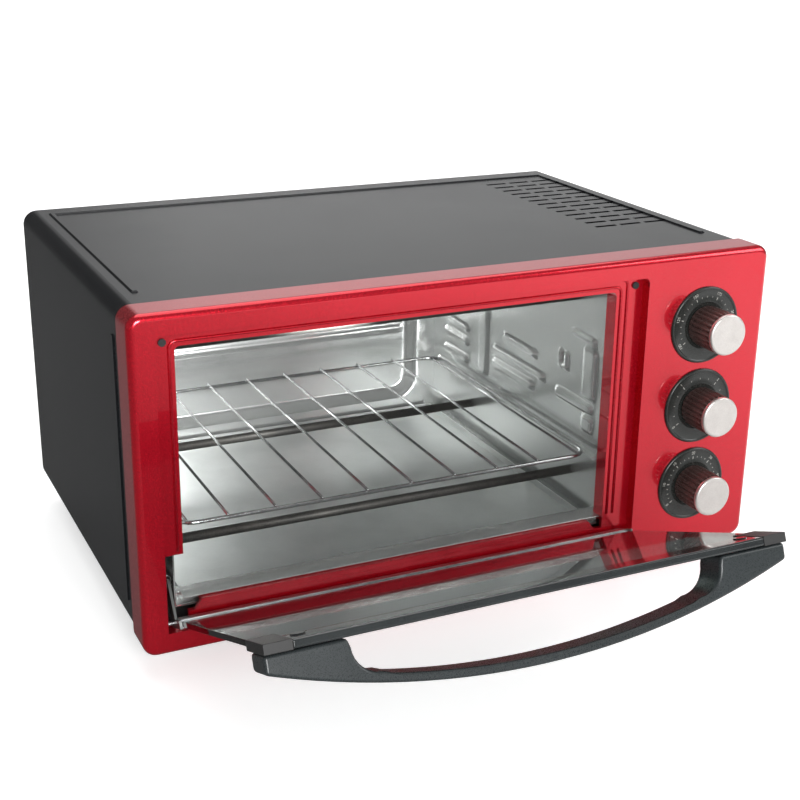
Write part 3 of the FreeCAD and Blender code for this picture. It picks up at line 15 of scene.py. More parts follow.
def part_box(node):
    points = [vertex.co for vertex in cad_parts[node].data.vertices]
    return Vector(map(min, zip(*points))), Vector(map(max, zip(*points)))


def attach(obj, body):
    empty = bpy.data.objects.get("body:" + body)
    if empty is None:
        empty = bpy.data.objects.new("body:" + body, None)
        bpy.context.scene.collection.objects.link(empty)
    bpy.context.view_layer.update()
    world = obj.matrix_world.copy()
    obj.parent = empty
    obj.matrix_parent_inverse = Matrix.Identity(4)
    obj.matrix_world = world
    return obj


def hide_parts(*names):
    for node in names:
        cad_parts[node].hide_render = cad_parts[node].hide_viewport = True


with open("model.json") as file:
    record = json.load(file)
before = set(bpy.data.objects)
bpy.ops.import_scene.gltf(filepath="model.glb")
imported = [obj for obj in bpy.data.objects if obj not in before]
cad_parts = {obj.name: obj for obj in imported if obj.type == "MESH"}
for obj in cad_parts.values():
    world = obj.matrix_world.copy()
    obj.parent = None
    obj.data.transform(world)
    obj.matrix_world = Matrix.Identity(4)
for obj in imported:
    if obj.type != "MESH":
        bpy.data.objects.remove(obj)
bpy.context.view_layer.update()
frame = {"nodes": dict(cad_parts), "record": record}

MM = 0.001
nodes = frame["nodes"]
box = {name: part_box(name) for name in nodes}


def middle(name):
    low, high = box[name]
    return (low + high) / 2


# Camera, fitted to the cabinet's corners and the door's free edge in the photograph
CAMERA_PLACE = Vector((-0.3618, -0.7190, 0.4080))
CAMERA_AZIMUTH = math.radians(-25.36)
CAMERA_ELEVATION = math.radians(19.95)
CAMERA_ROLL = math.radians(0.76)
CAMERA_LENS = 63.06


def camera():
    data = bpy.data.cameras.new("camera")
    data.lens = CAMERA_LENS
    data.sensor_width = 36
    data.clip_start = 0.01
    data.clip_end = 50
    thing = bpy.data.objects.new("camera", data)
    bpy.context.scene.collection.objects.link(thing)
    azimuth, elevation, roll = CAMERA_AZIMUTH, CAMERA_ELEVATION, CAMERA_ROLL
    back = Vector((math.sin(azimuth) * math.cos(elevation),
                   -math.cos(azimuth) * math.cos(elevation), math.sin(elevation)))
    level = Vector((math.cos(azimuth), math.sin(azimuth), 0))
    upright = back.cross(level)
    right = level * math.cos(roll) + upright * math.sin(roll)
    up = upright * math.cos(roll) - level * math.sin(roll)
    turn = Matrix((right, up, back)).transposed().to_4x4()
    thing.matrix_world = Matrix.Translation(CAMERA_PLACE) @ turn
    bpy.context.scene.camera = thing


def studio():
    """Pale floor that runs up into a backdrop, a white surround and three soft lights."""
    half, rise, bend = 3.0, 2.4, 0.9
    back = 2.2
    profile = [(-half, 0), (back - bend, 0)]
    for step in range(1, 13):
        angle = math.radians(90 * step / 12)
        profile.append((back - bend + bend * math.sin(angle), bend - bend * math.cos(angle)))
    profile.append((back, rise))
    vertices = [(x, y, z) for y, z in profile for x in (-half, half)]
    faces = [(2 * i, 2 * i + 1, 2 * i + 3, 2 * i + 2) for i in range(len(profile) - 1)]
    floor = mesh_object("studio_floor", vertices, faces)
    floor.data.materials.append(floor_paper())
    world = bpy.data.worlds.new("surround")
    world.use_nodes = True
    sky = world.node_tree.nodes["Background"]
    sky.inputs["Color"].default_value = (1, 1, 1, 1)
    sky.inputs["Strength"].default_value = 0.2
    bpy.context.scene.world = world
    for name, place, aim, size, power in (
            ("light_key", (-0.35, -2.2, 0.8), (0, 0, 0.1), 0.9, 46),
            ("light_fill", (1.9, -1.3, 1.3), (0, 0, 0.1), 1.2, 20),
            ("light_top", (0.3, 0.6, 2.3), (0, 0.1, 0), 2.2, 27),
            ("light_chamber", (-0.07, -0.03, 0.182), (-0.11, 0.19, 0.12), 0.04, 0.2)):
        data = bpy.data.lights.new(name, "AREA")
        data.shape = "SQUARE"
        data.size = size
        data.energy = power
        data.spread = math.radians(95 if name == "light_chamber" else 180)
        light = bpy.data.objects.new(name, data)
        light.location = place
        light.rotation_mode = "QUATERNION"
        light.rotation_quaternion = (Vector(aim) - Vector(place)).to_track_quat("-Z", "Y")
        bpy.context.scene.collection.objects.link(light)


def mesh_object(name, vertices, faces, smooth=False):
    mesh = bpy.data.meshes.new(name)
    mesh.from_pydata([tuple(v) for v in vertices], [], faces)
    mesh.validate()
    mesh.update()
    if smooth:
        mesh.polygons.foreach_set("use_smooth", [True] * len(mesh.polygons))
    thing = bpy.data.objects.new(name, mesh)
    bpy.context.scene.collection.objects.link(thing)
    return thing


def finish_piece(thing, material, body, *replaced, slot=None):
    """Give a piece its material, the body it rides on and the nodes it stands for."""
    thing.data.materials.clear()
    thing.data.materials.append(material)
    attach(thing, body)
    if replaced:
        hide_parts(*replaced)
    return thing


# Shader groups


class Shade:
    """A node tree with short ways to add and join its nodes."""

    def __init__(self, tree):
        self.tree = tree

    def add(self, kind, inputs=None, **settings):
        node = self.tree.nodes.new(kind)
        for name, value in settings.items():
            setattr(node, name, value)
        for name, value in (inputs or {}).items():
            self.put(value, node.inputs[name])
        return node

    def put(self, value, socket):
        if isinstance(value, bpy.types.NodeSocket):
            self.tree.links.new(value, socket)
        else:
            socket.default_value = value

    def math(self, operation, first, second=0.0, third=0.0):
        node = self.tree.nodes.new("ShaderNodeMath")
        node.operation = operation
        for socket, value in zip(node.inputs, (first, second, third)):
            self.put(value, socket)
        return node.outputs[0]

    def mix(self, factor, first, second):
        node = self.tree.nodes.new("ShaderNodeMix")
        node.data_type = "RGBA"
        self.put(factor, node.inputs["Factor"])
        self.put(first, node.inputs[6])
        self.put(second, node.inputs[7])
        return node.outputs[2]

    def spread(self, value, low, high, new_low=0.0, new_high=1.0):
        node = self.add("ShaderNodeMapRange", {
            "Value": value, "From Min": low, "From Max": high, "To Min": new_low, "To Max": new_high})
        return node.outputs[0]

    def place(self, stretch=(1, 1, 1)):
        """Object coordinates, stretched."""
        where = self.add("ShaderNodeTexCoord")
        node = self.add("ShaderNodeMapping", {"Vector": where.outputs["Object"], "Scale": stretch})
        return node.outputs[0]

    def noise(self, vector, scale, detail=3.0, roughness=0.5):
        node = self.add("ShaderNodeTexNoise", {
            "Vector": vector, "Scale": scale, "Detail": detail, "Roughness": roughness})
        return node.outputs["Fac"]


def new_group(name, inputs, outputs):
    tree = bpy.data.node_groups.new(name, "ShaderNodeTree")
    for label, kind, value in inputs:
        socket = tree.interface.new_socket(label, in_out="INPUT", socket_type=kind)
        socket.default_value = value
    for label, kind in outputs:
        tree.interface.new_socket(label, in_out="OUTPUT", socket_type=kind)
    shade = Shade(tree)
    return shade, shade.add("NodeGroupInput"), shade.add("NodeGroupOutput")


FLOAT = "NodeSocketFloat"
COLOUR = "NodeSocketColor"


def build_mottle():
    """Cloudy wear: broad patches broken by fine grain."""
    shade, inside, outside = new_group(
        "mottle", (("Patch size", FLOAT, 30.0), ("Grain size", FLOAT, 400.0), ("Grain share", FLOAT, 0.3)),
        (("Mask", FLOAT), ("Grain", FLOAT)))
    where = shade.place()
    patches = shade.noise(where, inside.outputs["Patch size"], 4.0, 0.6)
    grain = shade.noise(where, inside.outputs["Grain size"], 2.0, 0.5)
    share = inside.outputs["Grain share"]
    blend = shade.math("ADD", shade.math("MULTIPLY", patches, shade.math("SUBTRACT", 1.0, share)),
                       shade.math("MULTIPLY", grain, share))
    shade.put(shade.spread(blend, 0.3, 0.7), outside.inputs["Mask"])
    shade.put(grain, outside.inputs["Grain"])
    return shade.tree


def build_drawn_lines():
    """Fine lines along the row frame's x, as rolled or brushed sheet has."""
    shade, inside, outside = new_group(
        "drawn_lines", (("Line size", FLOAT, 500.0),), (("Lines", FLOAT),))
    where = shade.place((0.02, 1, 1))
    shade.put(shade.noise(where, inside.outputs["Line size"], 3.0, 0.6), outside.inputs["Lines"])
    return shade.tree


def build_spangle():
    """Flat crystal flowers of zinc-coated sheet."""
    shade, inside, outside = new_group(
        "spangle", (("Flower size", FLOAT, 120.0),), (("Flowers", FLOAT),))
    where = shade.place()
    warp = shade.noise(where, 60.0, 2.0)
    bent = shade.add("ShaderNodeVectorMath", {0: where}, operation="ADD")
    push = shade.add("ShaderNodeCombineXYZ", {"X": shade.math("MULTIPLY", warp, 0.01),
                                              "Y": shade.math("MULTIPLY", warp, 0.01), "Z": 0.0})
    shade.put(push.outputs[0], bent.inputs[1])
    cells = shade.add("ShaderNodeTexVoronoi", {"Vector": bent.outputs[0], "Scale": inside.outputs["Flower size"]})
    tone = shade.add("ShaderNodeSeparateColor", {"Color": cells.outputs["Color"]})
    shade.put(tone.outputs[0], outside.inputs["Flowers"])
    return shade.tree


def build_peel():
    """The faint waves of sprayed paint or moulded plastic."""
    shade, inside, outside = new_group(
        "peel", (("Wave size", FLOAT, 250.0), ("Fine size", FLOAT, 1500.0)), (("Height", FLOAT),))
    where = shade.place()
    waves = shade.noise(where, inside.outputs["Wave size"], 2.0)
    fine = shade.noise(where, inside.outputs["Fine size"], 2.0)
    shade.put(shade.math("ADD", shade.math("MULTIPLY", waves, 0.7), shade.math("MULTIPLY", fine, 0.3)),
              outside.inputs["Height"])
    return shade.tree


MOTTLE = build_mottle()
DRAWN_LINES = build_drawn_lines()
SPANGLE = build_spangle()
PEEL = build_peel()


def new_material(name, **shader_values):
    """A material with its Principled shader's own values set, and its node tree."""
    material = bpy.data.materials.new(name)
    material.use_nodes = True
    shader = material.node_tree.nodes["Principled BSDF"]
    for label, value in shader_values.items():
        shader.inputs[label.replace("_", " ")].default_value = value
    return material, Shade(material.node_tree), shader


def use_group(shade, tree, **values):
    node = shade.add("ShaderNodeGroup", node_tree=tree)
    for label, value in values.items():
        node.inputs[label.replace("_", " ")].default_value = value
    return node.outputs


def bump(shade, shader, height, distance, strength=1.0):
    node = shade.add("ShaderNodeBump", {"Height": height, "Distance": distance, "Strength": strength})
    shade.put(node.outputs[0], shader.inputs["Normal"])


def red_paint():
    """Candy-red metallic paint under a clear coat."""
    material, shade, shader = new_material(
        "red_paint", Metallic=0.72, Coat_Weight=1.0, Coat_Roughness=0.03, Coat_IOR=1.45)
    peel = use_group(shade, PEEL, Wave_size=140.0, Fine_size=900.0)
    wear = use_group(shade, MOTTLE, Patch_size=9.0, Grain_size=2600.0, Grain_share=0.55)
    shade.put(shade.mix(wear["Mask"], (0.52, 0.003, 0.014, 1), (0.66, 0.006, 0.024, 1)),
              shader.inputs["Base Color"])
    shade.put(shade.spread(wear["Grain"], 0.3, 0.7, 0.2, 0.3), shader.inputs["Roughness"])
    bump(shade, shader, peel["Height"], 0.00003)
    return material


def black_paint():
    """Black satin enamel on the wrap."""
    material, shade, shader = new_material("black_paint", Specular_IOR_Level=0.4)
    peel = use_group(shade, PEEL, Wave_size=220.0, Fine_size=1600.0)
    wear = use_group(shade, MOTTLE, Patch_size=7.0, Grain_size=1800.0, Grain_share=0.3)
    shade.put(shade.mix(wear["Mask"], (0.007, 0.008, 0.009, 1), (0.012, 0.013, 0.015, 1)),
              shader.inputs["Base Color"])
    shade.put(shade.spread(wear["Mask"], 0.0, 1.0, 0.17, 0.25), shader.inputs["Roughness"])
    bump(shade, shader, peel["Height"], 0.00004)
    return material


def galvanised(name="galvanised_sheet", light=(0.76, 0.77, 0.76, 1), dark=(0.64, 0.66, 0.65, 1), rough=0.22):
    """Zinc-coated sheet with soft flowers, roll lines and dull patches."""
    material, shade, shader = new_material(name, Metallic=0.85)
    flowers = use_group(shade, SPANGLE, Flower_size=70.0)
    lines = use_group(shade, DRAWN_LINES, Line_size=420.0)
    wear = use_group(shade, MOTTLE, Patch_size=7.0, Grain_size=500.0, Grain_share=0.06)
    tone = shade.math("ADD", shade.math("MULTIPLY", wear["Mask"], 0.93),
                      shade.math("MULTIPLY", flowers["Flowers"], 0.07))
    shade.put(shade.mix(tone, dark, light), shader.inputs["Base Color"])
    shade.put(shade.spread(wear["Mask"], 0.0, 1.0, rough, rough + 0.05), shader.inputs["Roughness"])
    bump(shade, shader, lines["Lines"], 0.00001, 0.3)
    return material


def plain_steel():
    material, shade, shader = new_material("plain_steel", Metallic=1.0)
    lines = use_group(shade, DRAWN_LINES, Line_size=900.0)
    wear = use_group(shade, MOTTLE, Patch_size=60.0, Grain_size=1500.0, Grain_share=0.4)
    shade.put(shade.mix(wear["Mask"], (0.42, 0.43, 0.44, 1), (0.62, 0.63, 0.63, 1)),
              shader.inputs["Base Color"])
    shade.put(shade.spread(lines["Lines"], 0.3, 0.7, 0.22, 0.38), shader.inputs["Roughness"])
    return material


def chrome_wire():
    material, shade, shader = new_material("chrome_wire", Metallic=1.0)
    wear = use_group(shade, MOTTLE, Patch_size=90.0, Grain_size=2400.0, Grain_share=0.4)
    shade.put(shade.mix(wear["Mask"], (0.36, 0.37, 0.37, 1), (0.60, 0.61, 0.61, 1)),
              shader.inputs["Base Color"])
    shade.put(shade.spread(wear["Grain"], 0.3, 0.7, 0.1, 0.22), shader.inputs["Roughness"])
    return material


def rod_sheath():
    """Oxidised steel sheath of the heating rods, with heat bands."""
    material, shade, shader = new_material("rod_sheath", Metallic=0.7)
    wear = use_group(shade, MOTTLE, Patch_size=45.0, Grain_size=1300.0, Grain_share=0.5)
    shade.put(shade.mix(wear["Mask"], (0.035, 0.036, 0.036, 1), (0.12, 0.115, 0.105, 1)),
              shader.inputs["Base Color"])
    shade.put(shade.spread(wear["Grain"], 0.3, 0.7, 0.4, 0.62), shader.inputs["Roughness"])
    bump(shade, shader, wear["Grain"], 0.00006)
    return material


def door_glass():
    """Float glass with a grey-green body, painted darker than clear glass as shade for the dim view through the
    door, and wiped smears.
    """
    material, shade, shader = new_material(
        "door_glass", Transmission_Weight=1.0, IOR=1.5, Specular_IOR_Level=0.6)
    smears = use_group(shade, MOTTLE, Patch_size=14.0, Grain_size=200.0, Grain_share=0.2)
    # Painted shade: the grey-green tint is kept dark so that the chamber behind the door looks dim; the smears
    # vary it slightly.
    shade.put(shade.mix(smears["Mask"], (0.30, 0.36, 0.355, 1), (0.36, 0.42, 0.415, 1)),
              shader.inputs["Base Color"])
    shade.put(shade.spread(smears["Mask"], 0.2, 0.9, 0.0, 0.025), shader.inputs["Roughness"])
    return material


def moulded(name, dark, light, rough_low, rough_high, height=0.00004, wave=350.0, **values):
    """Moulded plastic or rubber with a fine grain."""
    material, shade, shader = new_material(name, **values)
    peel = use_group(shade, PEEL, Wave_size=wave, Fine_size=wave * 6)
    wear = use_group(shade, MOTTLE, Patch_size=24.0, Grain_size=2000.0, Grain_share=0.45)
    shade.put(shade.mix(wear["Mask"], dark, light), shader.inputs["Base Color"])
    shade.put(shade.spread(wear["Grain"], 0.3, 0.7, rough_low, rough_high), shader.inputs["Roughness"])
    bump(shade, shader, peel["Height"], height)
    return material


def spun_metal():
    """Aluminium knob end with a fine silvery grain."""
    material, shade, shader = new_material("spun_metal", Metallic=0.85)
    grain = use_group(shade, MOTTLE, Patch_size=160.0, Grain_size=2200.0, Grain_share=0.6)
    shade.put(shade.mix(grain["Mask"], (0.60, 0.565, 0.54, 1), (0.76, 0.73, 0.70, 1)), shader.inputs["Base Color"])
    shade.put(shade.spread(grain["Grain"], 0.3, 0.7, 0.3, 0.44), shader.inputs["Roughness"])
    bump(shade, shader, grain["Grain"], 0.00002)
    return material


def floor_paper():
    """White studio paper; the oven's gloss sees it with painted shade, darker on the left and up the backdrop."""
    material, shade, shader = new_material("floor_paper", Roughness=0.85, Emission_Color=(1, 1, 1, 1))
    tone = shade.noise(shade.place(), 3.0, 2.0)
    paper = shade.mix(tone, (0.88, 0.88, 0.88, 1), (0.91, 0.91, 0.91, 1))
    where = shade.add("ShaderNodeTexCoord")
    place = shade.add("ShaderNodeSeparateXYZ", {"Vector": where.outputs["Object"]}).outputs
    # Painted shade: a gradient darkening the paper towards the left and up the backdrop, which only the oven's
    # reflections see.
    painted_shade_gradient = shade.math("MULTIPLY", shade.spread(place["X"], -0.15, 0.5, 0.08, 0.8),
                        shade.spread(place["Y"], 0.6, 2.0, 1.0, 0.6))
    glossy = shade.add("ShaderNodeLightPath").outputs["Is Glossy Ray"]
    # Camera rays see the plain paper; glossy rays see it with the painted shade, in colour and in glow.
    glossy_painted_shade = shade.math("SUBTRACT", 1.0, shade.math("MULTIPLY", glossy, shade.math("SUBTRACT", 1.0, painted_shade_gradient)))
    shade.put(shade.mix(glossy_painted_shade, (0, 0, 0, 1), paper), shader.inputs["Base Color"])
    shade.put(shade.math("MULTIPLY", glossy_painted_shade, 0.5), shader.inputs["Emission Strength"])
    return material


# Made pieces, in millimetres of the row frame


def unit(vector):
    return vector / np.linalg.norm(vector)


def sweep(name, points, radius, sides=12, closed=False):
    """A round bar along a run of points."""
    points = np.array(points, float)
    if closed:
        ways = np.roll(points, -1, 0) - np.roll(points, 1, 0)
    else:
        ways = np.gradient(points, axis=0)
    angles = 2 * np.pi * np.arange(sides) / sides
    side = np.cross(ways[0], (0.31, 0.22, 0.92))
    rings = []
    for point, way in zip(points, ways):
        way = unit(way)
        side = unit(side - way * side.dot(way))
        other = np.cross(way, side)
        rings.append(point + radius * (np.outer(np.cos(angles), side) + np.outer(np.sin(angles), other)))
    count = len(points)
    faces = []
    for i in range(count if closed else count - 1):
        here, there = i * sides, (i + 1) % count * sides
        faces += [(here + j, here + (j + 1) % sides, there + (j + 1) % sides, there + j)
                  for j in range(sides)]
    if not closed:
        faces += [tuple(reversed(range(sides))), tuple(range((count - 1) * sides, count * sides))]
    return mesh_object(name, np.concatenate(rings) * MM, faces, smooth=True)


def turn_at(before, corner, after, radius, steps=6):
    """A quarter arc in place of a square corner."""
    back, on = unit(before - corner) * radius, unit(after - corner) * radius
    angles = [math.pi / 2 * step / steps for step in range(steps + 1)]
    return [corner + back * (1 - math.sin(a)) + on * (1 - math.cos(a)) for a in angles]


def rounded(corners, radius):
    """A closed square-cornered run with its corners turned to arcs."""
    corners = [np.array(corner, float) for corner in corners]
    run = []
    for before, corner, after in zip(corners[-1:] + corners[:-1], corners, corners[1:] + corners[:1]):
        run += turn_at(before, corner, after, radius)
    return run


def join(name, things):
    """One object of several."""
    shape = bmesh.new()
    for thing in things:
        shape.from_mesh(thing.data)
        bpy.data.objects.remove(thing)
    mesh = bpy.data.meshes.new(name)
    shape.to_mesh(mesh)
    shape.free()
    whole = bpy.data.objects.new(name, mesh)
    bpy.context.scene.collection.objects.link(whole)
    return whole


def soften(thing, width, steps=3, angle=35):
    """Round the edges, and shade the flats flat."""
    thing.data.polygons.foreach_set("use_smooth", [True] * len(thing.data.polygons))
    for edge in thing.data.edges:
        edge.use_edge_sharp = False
    bevel = thing.modifiers.new("edges", "BEVEL")
    bevel.width = width * MM
    bevel.segments = steps
    bevel.limit_method = "ANGLE"
    bevel.angle_limit = math.radians(angle)
    evened = thing.modifiers.new("evened", "WEIGHTED_NORMAL")
    evened.keep_sharp = True
    evened.weight = 90
    return thing


def turned(name, place, profile, sides=64, ripple=None):
    """A form turned about a line along y: profile of (radius, y), ripple(angle, radius, y)."""
    x, z = place
    vertices, faces = [], []
    for radius, y in profile:
        for j in range(sides):
            angle = 2 * math.pi * j / sides
            reach = ripple(angle, radius, y) if ripple else radius
            vertices.append((x + reach * math.cos(angle), y, z + reach * math.sin(angle)))
    for i in range(len(profile) - 1):
        here, there = i * sides, (i + 1) * sides
        faces += [(here + j, there + j, there + (j + 1) % sides, here + (j + 1) % sides)
                  for j in range(sides)]
    return mesh_object(name, np.array(vertices) * MM, faces, smooth=True)


def raised(u, v, edges, corner, soft):
    """1 inside a round-cornered rectangle, 0 outside, with a soft slope between."""
    u0, u1, v0, v1 = edges
    out_u = np.abs(u - (u0 + u1) / 2) - (u1 - u0) / 2 + corner
    out_v = np.abs(v - (v0 + v1) / 2) - (v1 - v0) / 2 + corner
    away = np.hypot(np.maximum(out_u, 0), np.maximum(out_v, 0)) + np.minimum(np.maximum(out_u, out_v), 0) - corner
    share = np.clip(0.5 - away / soft, 0, 1)
    return share * share * (3 - 2 * share)


def relief(name, u_line, v_line, height, place, thickness):
    """Pressed sheet: its face stands out by the height, its back is the same sheet further on."""
    columns, rows = len(u_line), len(v_line)
    front = [place(u, v, height[i, j]) for i, u in enumerate(u_line) for j, v in enumerate(v_line)]
    back = [place(u, v, min(height[i, j], 0) - thickness)
            for i, u in enumerate(u_line) for j, v in enumerate(v_line)]
    half = columns * rows
    faces = []
    for i in range(columns - 1):
        for j in range(rows - 1):
            a, b = i * rows + j, (i + 1) * rows + j
            faces.append((a, b, b + 1, a + 1))
            faces.append((a + half, a + 1 + half, b + 1 + half, b + half))
    rim = [i * rows for i in range(columns)] + [(columns - 1) * rows + j for j in range(1, rows)]
    rim += [i * rows + rows - 1 for i in range(columns - 2, -1, -1)] + list(range(rows - 2, 0, -1))
    faces += [(a, a + half, b + half, b) for a, b in zip(rim, rim[1:] + rim[:1])]
    sheet = mesh_object(name, np.array(front + back) * MM, faces)
    recalculate(sheet)
    sheet.data.polygons.foreach_set("use_smooth", [True] * len(sheet.data.polygons))
    sheet.data.set_sharp_from_angle(angle=math.radians(50))
    return sheet


# Pressings of a chamber side as shares of its depth and height: front, back, low, high
SIDE_RIBS = ((0.30, 0.60, 0.48), (0.35, 0.54, 0.56), (0.36, 0.60, 0.415), (0.05, 0.235, 0.457),
             (0.76, 0.92, 0.35), (0.76, 0.92, 0.435), (0.76, 0.92, 0.50))
SIDE_PADS = ((0.04, 0.10, 0.50, 0.705), (0.045, 0.095, 0.36, 0.425), (0.635, 0.685, 0.335, 0.65))
HOOK_LINES = ((0.18, 0.196, 0.572, 0.642), (0.212, 0.228, 0.572, 0.642), (0.18, 0.228, 0.572, 0.590),
              (0.05, 0.066, 0.712, 0.751), (0.05, 0.167, 0.735, 0.751))
SHEET = 0.8


def chamber_sides(finish):
    for side, inwards in (("left", 1), ("right", -1)):
        node = f"cavity_{side}_wall"
        low, high = box[node][0] / MM, box[node][1] / MM
        plane = low.x + SHEET if inwards > 0 else high.x - SHEET
        depth, rise = high.y - low.y, high.z - low.z
        u_line, v_line = np.linspace(low.y, high.y, 180), np.linspace(low.z, high.z, 150)
        u, v = np.meshgrid(u_line, v_line, indexing="ij")
        height = np.zeros_like(u)

        def press(front, back, bottom, top, reach, corner, soft):
            edges = (low.y + depth * front, low.y + depth * back, low.z + rise * bottom, low.z + rise * top)
            np.maximum(height, reach * raised(u, v, edges, corner, soft), out=height)

        for front, back, level in SIDE_RIBS:
            press(front, back, level - 0.018, level + 0.018, 2.3, 2.6, 2.0)
        for pad in SIDE_PADS:
            press(*pad, 2.3, 3.0, 2.2)
        for line in HOOK_LINES:
            press(*line, 2.2, 1.2, 1.8)
        np.maximum(height, 3.75 * raised(u, v, (-38.9, 181.1, 74.4, 77.6), 1.0, 1.6), out=height)
        wall = relief(f"side_sheet_{side}", u_line, v_line, height,
                      lambda y, z, h: (plane + inwards * h, y, z), SHEET)
        finish_piece(wall, finish, "cabinet", node, slot="galvanised_sheet")


def chamber_rear(finish):
    """Back wall with its pressed-back panel and level bead."""
    low, high = box["cavity_back_wall"][0] / MM, box["cavity_back_wall"][1] / MM
    deep, side, bottom, top, corner, slope = 11.0, 15.8, 11.8, 16.8, 14.0, 6.0
    u_line, v_line = np.linspace(low.x, high.x, 184), np.linspace(low.z, high.z, 120)
    u, v = np.meshgrid(u_line, v_line, indexing="ij")
    panel = (low.x + side + slope / 2, high.x - side - slope / 2,
             low.z + bottom + slope / 2, high.z - top - slope / 2)
    height = -deep * raised(u, v, panel, corner, slope)
    bead = (panel[0] + 5, panel[1] - 5, 95.4, 99.4)
    height += 1.6 * raised(u, v, bead, 1.8, 2.6)
    wall = relief("rear_sheet", u_line, v_line, height, lambda x, z, h: (x, low.y - h, z), SHEET)
    finish_piece(wall, finish, "cabinet", "cavity_back_wall", slot="galvanised_sheet")


def wire_rack(finish):
    """Rack with its bent frame, second side rails and cross wires as round bars."""
    low, high = box["wire_rack"][0] / MM, box["wire_rack"][1] / MM
    frame_radius, wire_radius, rail_in, pitch = 1.25, 0.85, 6, 28.4
    inset = frame_radius + 0.05
    level = low.z + inset
    left, right = low.x + inset, high.x - inset
    front, rear = low.y + inset, high.y - inset
    bars = [sweep("wire", rounded([(left, front, level), (right, front, level),
                                   (right, rear, level), (left, rear, level)], 12),
                  frame_radius, 16, closed=True)]
    for x in (left + rail_in, right - rail_in):
        bars.append(sweep("wire", [(x, front + 0.4, level), (x, rear - 0.4, level)], wire_radius))
    top = level + frame_radius + wire_radius - 0.2
    for i in range(8):
        x = left + pitch * (i + 1)
        bars.append(sweep("wire", [(x, low.y + 0.1, top), (x, high.y - 0.1, top)], wire_radius))
    rack = join("rack_wires", bars)
    finish_piece(rack, finish, "rack", "wire_rack", slot="chrome_wire")


def heating_rods(finish):
    for name in ("lower_front", "lower_rear", "upper_front", "upper_rear"):
        node = name + "_element"
        low, high = box[node][0] / MM, box[node][1] / MM
        y, z = (low.y + high.y) / 2, (low.z + high.z) / 2
        pin, sheath = 1.3, 2.96
        bars = [sweep("rod", [(low.x + 7, y, z), (high.x - 7, y, z)], sheath, 20),
                sweep("pin", [(low.x, y, z), (high.x, y, z)], pin, 12)]
        finish_piece(join(name + "_rod", bars), finish, "cabinet", node, slot="rod_sheath")


def seat_beads(finish):
    """Two raised beads pressed in the door's seat, round the opening but open at the sill."""
    seat_y, bead = -51.9, 0.9
    left, right, top = -174, 95, 187.5
    inner = [(left - 3, seat_y, 72), (left - 3, seat_y, top + 3),
             (right + 3, seat_y, top + 3), (right + 3, seat_y, 44)]
    outer = [(left - 4, seat_y, top + 7.2), (right + 7.2, seat_y, top + 7.2), (right + 7.2, seat_y, 44)]
    for name, corners in (("inner", inner), ("outer", outer)):
        corners = [np.array(corner, float) for corner in corners]
        run = corners[:1]
        for before, corner, after in zip(corners, corners[1:], corners[2:]):
            run += turn_at(before, corner, after, 4)
        thing = sweep(f"seat_bead_{name}", run + corners[-1:], bead, 12)
        finish_piece(thing, finish, "cabinet")


def coil_spring(finish):
    """Close-wound spring between the hinge arm and its peg, with an eye at each end."""
    tip = np.array((-180.6, -47.9, 50.4))
    peg = np.array((-180.6, 37.1, 41.0))
    way = unit(peg - tip)
    length = np.linalg.norm(peg - tip)
    side = np.array((1.0, 0, 0))
    up = np.cross(side, way)
    hook, wire, radius, turns = 9, 0.55, 2.4, 40
    points = [tip + way * 0.6, tip + way * 3]
    for step in range(turns * 12 + 1):
        share = step / (turns * 12)
        angle = 2 * math.pi * turns * share
        points.append(tip + way * (hook + (length - 2 * hook) * share)
                      + radius * (side * math.cos(angle) + up * math.sin(angle)))
    points += [peg - way * 3, peg - way * 0.6]
    finish_piece(sweep("spring_coil", points, wire, 8), finish, "cabinet", "door_spring",
                 slot="plain_steel")


def bowed_handle(finish):
    """Handle bar bowed from end to end, with the finger space behind its middle."""
    slope = math.radians(22.6)
    hinge_y, hinge_z = -55.8, 31.5
    low_u, high_u = 140.5, 159.5
    face, end, bow, band = -2.95, -11.7, -35.7, 4.6
    middle, half, grip, grip_low, corner = -38.5, 144.5, 104.0, 102.0, 14.0
    rise = end - bow
    radius = (half ** 2 + rise ** 2) / (2 * rise)

    def arc_t(x, reach):
        return bow + radius - math.sqrt(reach ** 2 - (x - middle) ** 2)

    outline = [(middle - half, face)]
    for step in range(61):
        x = middle - half + 2 * half * step / 60
        outline.append((x, arc_t(x, radius)))
    outline.append((middle + half, face))
    outline.append((middle + grip, face))
    inner = radius - band
    floor_t = arc_t(middle + grip_low, inner)
    for step in range(9):
        angle = math.pi / 2 * step / 8
        outline.append((middle + grip_low - corner * (1 - math.cos(angle)) + 0.6 * (1 - step / 8),
                        floor_t - 2.2 + corner * (1 - math.sin(angle))))
    start = grip_low - corner
    for step in range(1, 40):
        x = middle + start - 2 * start * step / 40
        outline.append((x, arc_t(x, inner)))
    for step in range(8, -1, -1):
        angle = math.pi / 2 * step / 8
        outline.append((middle - grip_low + corner * (1 - math.cos(angle)) - 0.6 * (1 - step / 8),
                        floor_t - 2.2 + corner * (1 - math.sin(angle))))
    outline.append((middle - grip, face))
    vertices = []
    for u in (low_u, high_u):
        for x, t in outline:
            vertices.append((x, hinge_y - u * math.cos(slope) + t * math.sin(slope),
                             hinge_z + u * math.sin(slope) + t * math.cos(slope)))
    count = len(outline)
    faces = [tuple(range(count)), tuple(reversed(range(count, 2 * count)))]
    faces += [(i, i + count, (i + 1) % count + count, (i + 1) % count) for i in range(count)]
    bar = mesh_object("handle_bar", np.array(vertices) * MM, faces)
    recalculate(bar)
    soften(bar, 1.8, 4, 40)
    finish_piece(bar, finish, "door", "door_handle", slot="handle_plastic")


def recalculate(thing):
    """Turn every face outwards."""
    shape = bmesh.new()
    shape.from_mesh(thing.data)
    bmesh.ops.recalc_face_normals(shape, faces=shape.faces)
    shape.to_mesh(thing.data)
    shape.free()


